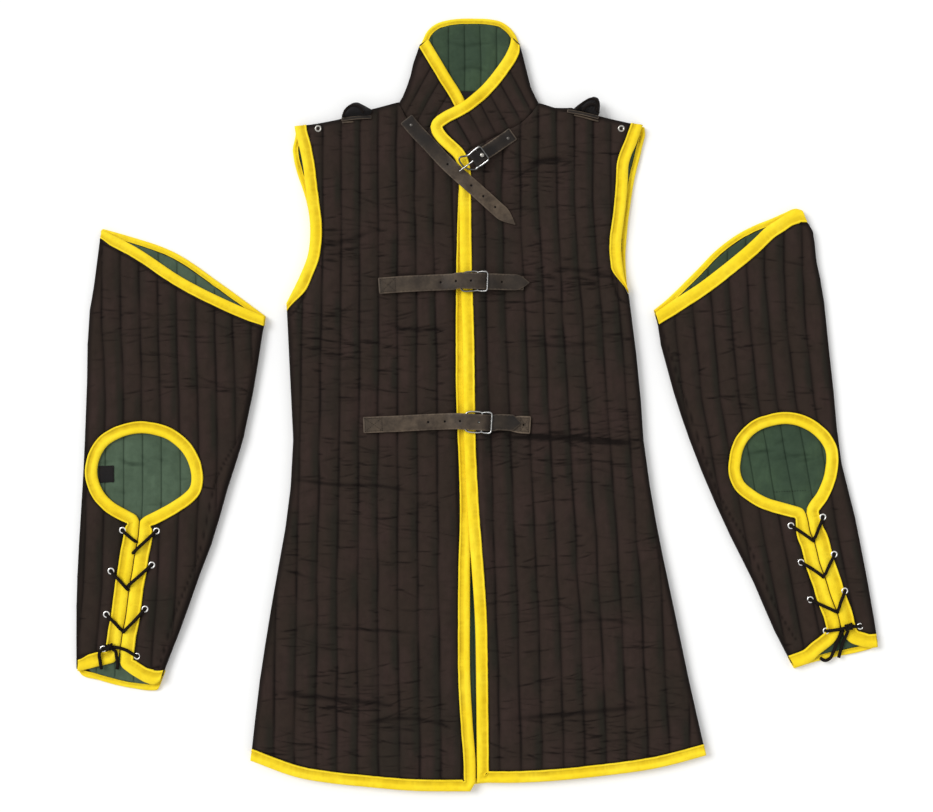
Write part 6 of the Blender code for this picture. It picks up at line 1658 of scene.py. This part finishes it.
# Laces of the sleeves
lacing = {"wide": 5.0, "knot": 3.3, "wraps": 2.6}
eyelets, cords = {"sleeve": [], "shoulder": []}, []
for side, cut in sleeveCuts.items():
    name = "sleeve_" + side + "_"
    panel, opening, cuff, inside, wall = sleeveTops[side]
    top = topOf([panel, opening])

    def seat(x, y):
        ring = [(x + 5 * math.cos(a), y + 5 * math.sin(a)) for a
                in np.linspace(0, 2 * math.pi, 8, endpoint=False)]
        return np.mean([top(*spot) for spot in ring]) + 0.25

    lifted = 0.0
    for number, arms in enumerate(cut["laces"]):
        shells, coords = [], []
        for order, arm in enumerate(arms):
            line = evenLine(smoothLine(arm, 2), 2.0)
            along = np.arange(len(line)) * 2.0
            level0 = seat(*arm[0])
            eyelets["sleeve"].append((*arm[0], level0))
            rest = restOn(top, line, 3.0, 4, 0.9) + lacing["wide"] / 2
            rest[0] = level0 - 1.5
            rest[1] = max(level0 + 1.2, rest[1] - 1)
            rest += order * 2.6 * ease(along, along[-1] * 0.55, along[-1] * 0.8)
            drop = ease(along, along[-1] - 5, along[-1] + 1.5)
            rest = rest - (3.4 + order * 2.4) * drop
            points, faces, uv = cordTube(np.column_stack([line, smoothOver(rest, along, 2.1)]),
                                         lacing["wide"], 10)
            shells.append((points, faces))
            coords.append(uv)
        points, faces = joinShells(shells)
        dress(putMesh(name + "lace_" + str(number + 1), points, faces, laceBraid, uv=np.vstack(coords)),
              "lace",
              name + "lace_" + str(number + 1))

    line = evenLine(smoothLine(cut["bow"], 2), 2.0)
    along = np.arange(len(line)) * 2.0
    rest = restOn(top, line, 4, 6, 0.9) + lacing["wide"] / 2
    for at, spot in ((0, cut["bow"][0]), (-1, cut["bow"][-1])):
        level0 = seat(*spot)
        eyelets["sleeve"].append((*spot, level0))
        rest[at] = level0 - 1.2
    bowHigh = smoothOver(rest, along, 2.1)
    shells, coords = [], []
    points, faces, uv = cordTube(np.column_stack([line, bowHigh]), lacing["wide"], 10)
    shells.append((points, faces))
    coords.append(uv)
    knot = np.array(cut["knot"], float)
    nearest = nearestTo(line, knot)
    way = line[min(nearest + 2, len(line) - 1)] - line[max(nearest - 2, 0)]
    way /= np.linalg.norm(way)
    middle = np.array([*line[nearest], bowHigh[nearest] + 0.6])
    axes = np.array([*way, 0.0]), np.array([-way[1], way[0], 0.0]), np.array([0.0, 0.0, 1.0])
    turns = np.linspace(0, lacing["wraps"] * 2 * math.pi, 40)
    wraps = np.array([middle + axes[0] * (t / turns[-1] - 0.5) * 8.5
                      + (axes[1] * math.cos(t) * 1.05 + axes[2] * math.sin(t))
                      * lacing["knot"] for t in turns])
    across = np.array([middle + axes[0] * x + axes[1] * y + axes[2] * z for x, y, z in
                       ((-4.5, -4.2, 0.5), (-2.5, -2.2, 4.3), (0, 0, 5.4), (2.5, 2.4, 4.3), (4.6, 4.2, 0.5))])
    for strand, size in ((wraps, 3.6), (evenLine(smoothLine(across, 1), 1.5), 3.8)):
        points, faces, uv = cordTube(strand, size, 9)
        shells.append((points, faces))
        coords.append(uv)
    points, faces = joinShells(shells)
    bow = dress(putMesh(name + "lace_bow", points, faces, laceBraid, uv=np.vstack(coords)),
                "lace", name + "lace_bow")

    under = topOf([panel, opening, cuff, inside, wall])
    for number, end in enumerate(cut["ends"]):
        line = evenLine(smoothLine(end, 2), 2.6)
        along = np.arange(len(line)) * 2.6
        rest = np.maximum(restOn(under, line, 3, 5, 0.9) + 0.2 + lacing["wide"] / 2,
                          bowHigh[nearest] - 1.5 - along * 0.5)
        path = np.column_stack([line, smoothOver(rest, along, 2.7)])
        points, faces, uv = tubeOf(path, lacing["wide"], sides=10, carried=True)
        piece = putMesh(name + "lace_end_" + str(number + 1), points,
                        outward(points, faces), laceBraid, uv=uv)
        dress(piece, "lace", name + "lace_end_" + str(number + 1))
        cords.append((piece, path))
print("laces tied")

# Dark patch sewn to the right sleeve's lining
patch = {"corners": [(-569, -91.5), (-546, -91), (-546, -116), (-568, -117)], "thick": 0.7,
         "over": 7.65, "seamIn": 2.2,
         "grid": ((-570, -545), (-118, -90), 1.5), "room": 0.8}
corners = evenLine(np.array(patch["corners"] + patch["corners"][:1], float), 2.0)[:-1][::-1]
corners = corners + 0.35 * np.column_stack([cloudy(corners, 4, 4, 3), cloudy(corners, 4, 4, 4)])
gridX, gridY, gridStep = patch["grid"]
x, y = np.meshgrid(np.arange(*gridX, gridStep), np.arange(*gridY, gridStep))
inner = np.column_stack([x.ravel(), y.ravel()])
closed = closedLine(corners)
inner = inner[insideOutline(inner, corners) & (distanceTo(inner, closed) > patch["room"])]


def patchTop(points):
    puff = 0.35 * ease(distanceTo(points, closed), patch["seamIn"], 6) * (1 + cloudy(points, 9, 6, 15))
    return patch["over"] + patch["thick"] + puff


turned = corners[::-1] if twiceArea(corners) < 0 else corners
piece = wallBetween("sleeve_right_patch", turned, np.empty((0, 2)), inner,
                    lambda p: np.full(len(p), patch["over"]),
                    patchTop, neckTapeCloth)
layFlat(piece, corners, 1.0)
dress(piece, "shell", "sleeve_right_patch")
middle = corners.mean(axis=0)
seam = evenLine(middle + (closed - middle) * 0.86, 1.5)
stitchLines["quilt"].append(np.column_stack([seam, patchTop(seam) + 0.1]))


# Geometry Nodes for what repeats
def repeatTree(name, sizes, build):
    tree = bpy.data.node_groups.new(name, "GeometryNodeTree")
    tree.interface.new_socket(name="Geometry", in_out="INPUT", socket_type="NodeSocketGeometry")
    for label, value in sizes.items():
        kind = "NodeSocketInt" if isinstance(value, int) else "NodeSocketFloat"
        tree.interface.new_socket(name=label, in_out="INPUT", socket_type=kind).default_value = value
    tree.interface.new_socket(name="Material", in_out="INPUT", socket_type="NodeSocketMaterial")
    tree.interface.new_socket(name="Geometry", in_out="OUTPUT", socket_type="NodeSocketGeometry")
    given, out = tree.nodes.new("NodeGroupInput"), tree.nodes.new("NodeGroupOutput")
    last = build(tree, given.outputs)
    joined = addNode(tree, "GeometryNodeRealizeInstances", {0: last})
    coated = addNode(tree, "GeometryNodeSetMaterial", {"Geometry": joined.outputs[0],
                                                       "Material": given.outputs["Material"]})
    tree.links.new(coated.outputs[0], out.inputs[0])
    return tree


def stitchesAlong(tree, given):  # one flattened stitch per step along each line
    curve = addNode(tree, "GeometryNodeMeshToCurve", {"Mesh": given["Geometry"]})
    steps = addNode(tree, "GeometryNodeCurveToPoints", {"Curve": curve.outputs[0], "Length": given["Pitch"]},
                    mode="LENGTH")
    bead = addNode(tree, "GeometryNodeMeshIcoSphere", {"Radius": 0.5, "Subdivisions": 1})
    size = addNode(tree, "ShaderNodeCombineXYZ", {0: given["Long"], 1: given["Wide"], 2: given["Wide"]})
    shaped = addNode(tree, "GeometryNodeTransform", {"Geometry": bead.outputs[0], "Scale": size.outputs[0]})
    way = addNode(tree, "FunctionNodeAlignRotationToVector", {"Vector": steps.outputs["Tangent"]}, axis="X")
    spread = addNode(tree, "FunctionNodeRandomValue", {2: 0.82, 3: 1.12, "Seed": given["Seed"]},
                     data_type="FLOAT")
    return addNode(tree, "GeometryNodeInstanceOnPoints", {
        "Points": steps.outputs["Points"], "Instance": shaped.outputs[0], "Rotation": way.outputs[0],
        "Scale": spread.outputs[1]}).outputs[0]


def ringsOn(tree, given):  # a rolled metal ring at each point
    ring = addNode(tree, "GeometryNodeCurvePrimitiveCircle", {"Resolution": 20, "Radius": given["Round"]})
    roll = addNode(tree, "GeometryNodeCurvePrimitiveCircle", {"Resolution": 8, "Radius": given["Roll"]})
    tube = addNode(tree, "GeometryNodeCurveToMesh",
                   {"Curve": ring.outputs[0], "Profile Curve": roll.outputs[0]})
    squash = addNode(tree, "ShaderNodeCombineXYZ", {0: 1.0, 1: 1.0, 2: given["Flat"]})
    pressed = addNode(tree, "GeometryNodeTransform",
                      {"Geometry": tube.outputs[0], "Scale": squash.outputs[0]})
    return addNode(tree, "GeometryNodeInstanceOnPoints", {"Points": given["Geometry"],
                                                          "Instance": pressed.outputs[0]}).outputs[0]


def headsOn(tree, given):  # a low round rivet head at each point
    head = addNode(tree, "GeometryNodeMeshUVSphere", {"Segments": 14, "Rings": 8, "Radius": given["Round"]})
    squash = addNode(tree, "ShaderNodeCombineXYZ", {0: 1.0, 1: 1.0, 2: given["Flat"]})
    pressed = addNode(tree, "GeometryNodeTransform",
                      {"Geometry": head.outputs[0], "Scale": squash.outputs[0]})
    return addNode(tree, "GeometryNodeInstanceOnPoints", {"Points": given["Geometry"],
                                                          "Instance": pressed.outputs[0]}).outputs[0]


trees = {
    "stitch": repeatTree("stitchesAlong", {"Pitch": 0.0034, "Long": 0.0026, "Wide": 0.0008, "Seed": 3},
                         stitchesAlong),
    "ring": repeatTree("ringsOn", {"Round": 0.0041, "Roll": 0.0013, "Flat": 0.85}, ringsOn),
    "head": repeatTree("headsOn", {"Round": 0.0034, "Flat": 0.5}, headsOn),
}


def repeated(name, tree, points, edges, material, slot, nodes=(), **sizes):
    mesh = bpy.data.meshes.new(name)
    points = np.array(points, float)
    points[:, :2] += tableShift
    mesh.from_pydata((points * 0.001).tolist(), edges, [])
    base = bpy.data.objects.new(name + "Base", mesh)
    bpy.context.scene.collection.objects.link(base)
    modifier = base.modifiers.new("repeat", "NODES")
    modifier.node_group = trees[tree]
    for item in trees[tree].interface.items_tree:
        if item.in_out == "INPUT" and item.name in sizes:
            modifier[item.identifier] = sizes[item.name]
        if item.in_out == "INPUT" and item.name == "Material":
            modifier[item.identifier] = material
    bpy.context.view_layer.update()
    graph = bpy.context.evaluated_depsgraph_get()
    finished = bpy.data.meshes.new_from_object(base.evaluated_get(graph))
    bpy.data.objects.remove(base)
    finished.name = name
    if not finished.materials:
        finished.materials.append(material)
    finished.shade_smooth()
    piece = bpy.data.objects.new(name, finished)
    bpy.context.scene.collection.objects.link(piece)
    return dress(piece, slot, *nodes)


def chained(lines):
    points, edges = [], []
    for line in lines:
        start = len(points)
        points += [tuple(p) for p in line]
        edges += [(start + k, start + k + 1) for k in range(len(line) - 1)]
    return points, edges


for label, material, slot, sizes in (
        ("quilt", seamThread, "shell", {"Pitch": 0.0038, "Long": 0.0029, "Wide": 0.0007, "Seed": 11}),
        ("tape", tapeThread, "binding", {"Pitch": 0.0030, "Long": 0.0023, "Wide": 0.0008, "Seed": 12}),
        ("strap", strapThread, "lace", {"Pitch": 0.0030, "Long": 0.0024, "Wide": 0.0009, "Seed": 13})):
    points, edges = chained(stitchLines[label])
    repeated(label + "Stitches", "stitch", points, edges, material, slot, **sizes)
repeated("sleeveEyelets", "ring", eyelets["sleeve"], [], paleNickel, "chrome",
         Round=0.0040, Roll=0.0013, Flat=0.8)
shoulderSpots = [(x, y, np.mean([cloth(x + 5 * math.cos(a), y + 5 * math.sin(a)) for a in range(8)]) + 0.4)
                 for x, y in ((-238, 414), (216, 414))]
repeated("shoulderEyelets", "ring", shoulderSpots, [], dullNickel, "chrome",
         ("shoulder_eyelet_right", "shoulder_eyelet_left"), Round=0.0039, Roll=0.0014, Flat=0.8)
repeated("rivetHeads", "head", studs["bright"], [], dullNickel, "chrome", Round=0.0034, Flat=0.45)
repeated("dullRivets", "head", studs["dull"], [], gunMetal, "chrome", Round=0.0024, Flat=0.4)
# dark discs in the strap holes: painted shade
repeated("strapHoleShadeDiscs", "head", studs["floor"], [], neckTapeCloth, "shell", Round=0.0022, Flat=0.1)
print("stitches, eyelets and rivets placed")

for piece, flat, area in sheets:
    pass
for piece, path in cords:
    path = np.asarray(path, float).copy()
    path[:, :2] += tableShift
    long = float(np.linalg.norm(np.diff(path, axis=0), axis=1).sum()) * 0.001
    print(piece.name, "length", round(long, 4))
    [tuple(p) for p in path * 0.001]

# Camera, light and floor
studio = {"lens": 60.0, "film": 36.0, "across": 933, "step": 0.0015, "middle": (-0.01446, -0.00287),
          "focusHigh": 0.014, "floor": 6.0,
          "sun": 1.80, "from": (-0.75, 0.42, 0.85), "sky": 0.76}
camera = bpy.data.objects.new("camera", bpy.data.cameras.new("camera"))
camera.data.lens = studio["lens"]
camera.data.sensor_width = studio["film"]
camera.data.clip_end = 50
camera.location = (*studio["middle"], studio["focusHigh"] + studio["across"] * studio["step"]
                   * studio["lens"] / studio["film"])
bpy.context.scene.collection.objects.link(camera)
bpy.context.scene.camera = camera

sun = bpy.data.objects.new("window", bpy.data.lights.new("window", "SUN"))
sun.data.energy, sun.data.angle = studio["sun"], math.radians(30)
sun.rotation_euler = (-Vector(studio["from"])).to_track_quat("-Z", "Y").to_euler()
bpy.context.scene.collection.objects.link(sun)
world = bpy.data.worlds.new("studio")
world.use_nodes = True
world.node_tree.nodes["Background"].inputs["Color"].default_value = (1, 1, 1, 1)
world.node_tree.nodes["Background"].inputs["Strength"].default_value = studio["sky"]
bpy.context.scene.world = world
bpy.context.scene.view_settings.view_transform = "Standard"

floorMesh = bpy.data.meshes.new("floor")
half = studio["floor"]
floorMesh.from_pydata([(-half, -half, -0.0004), (half, -half, -0.0004), (half, half, -0.0004),
                       (-half, half, -0.0004)], [], [(0, 1, 2, 3)])
floor = bpy.data.objects.new("floor", floorMesh)
bpy.context.scene.collection.objects.link(floor)
paper, _, paperShader = newMaterial("palePaper", Roughness=0.9, Specular_IOR_Level=0.1)
paperShader.inputs["Base Color"].default_value = (0.93, 0.93, 0.925, 1)
floorMesh.materials.append(paper)
floor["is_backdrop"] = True

low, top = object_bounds()
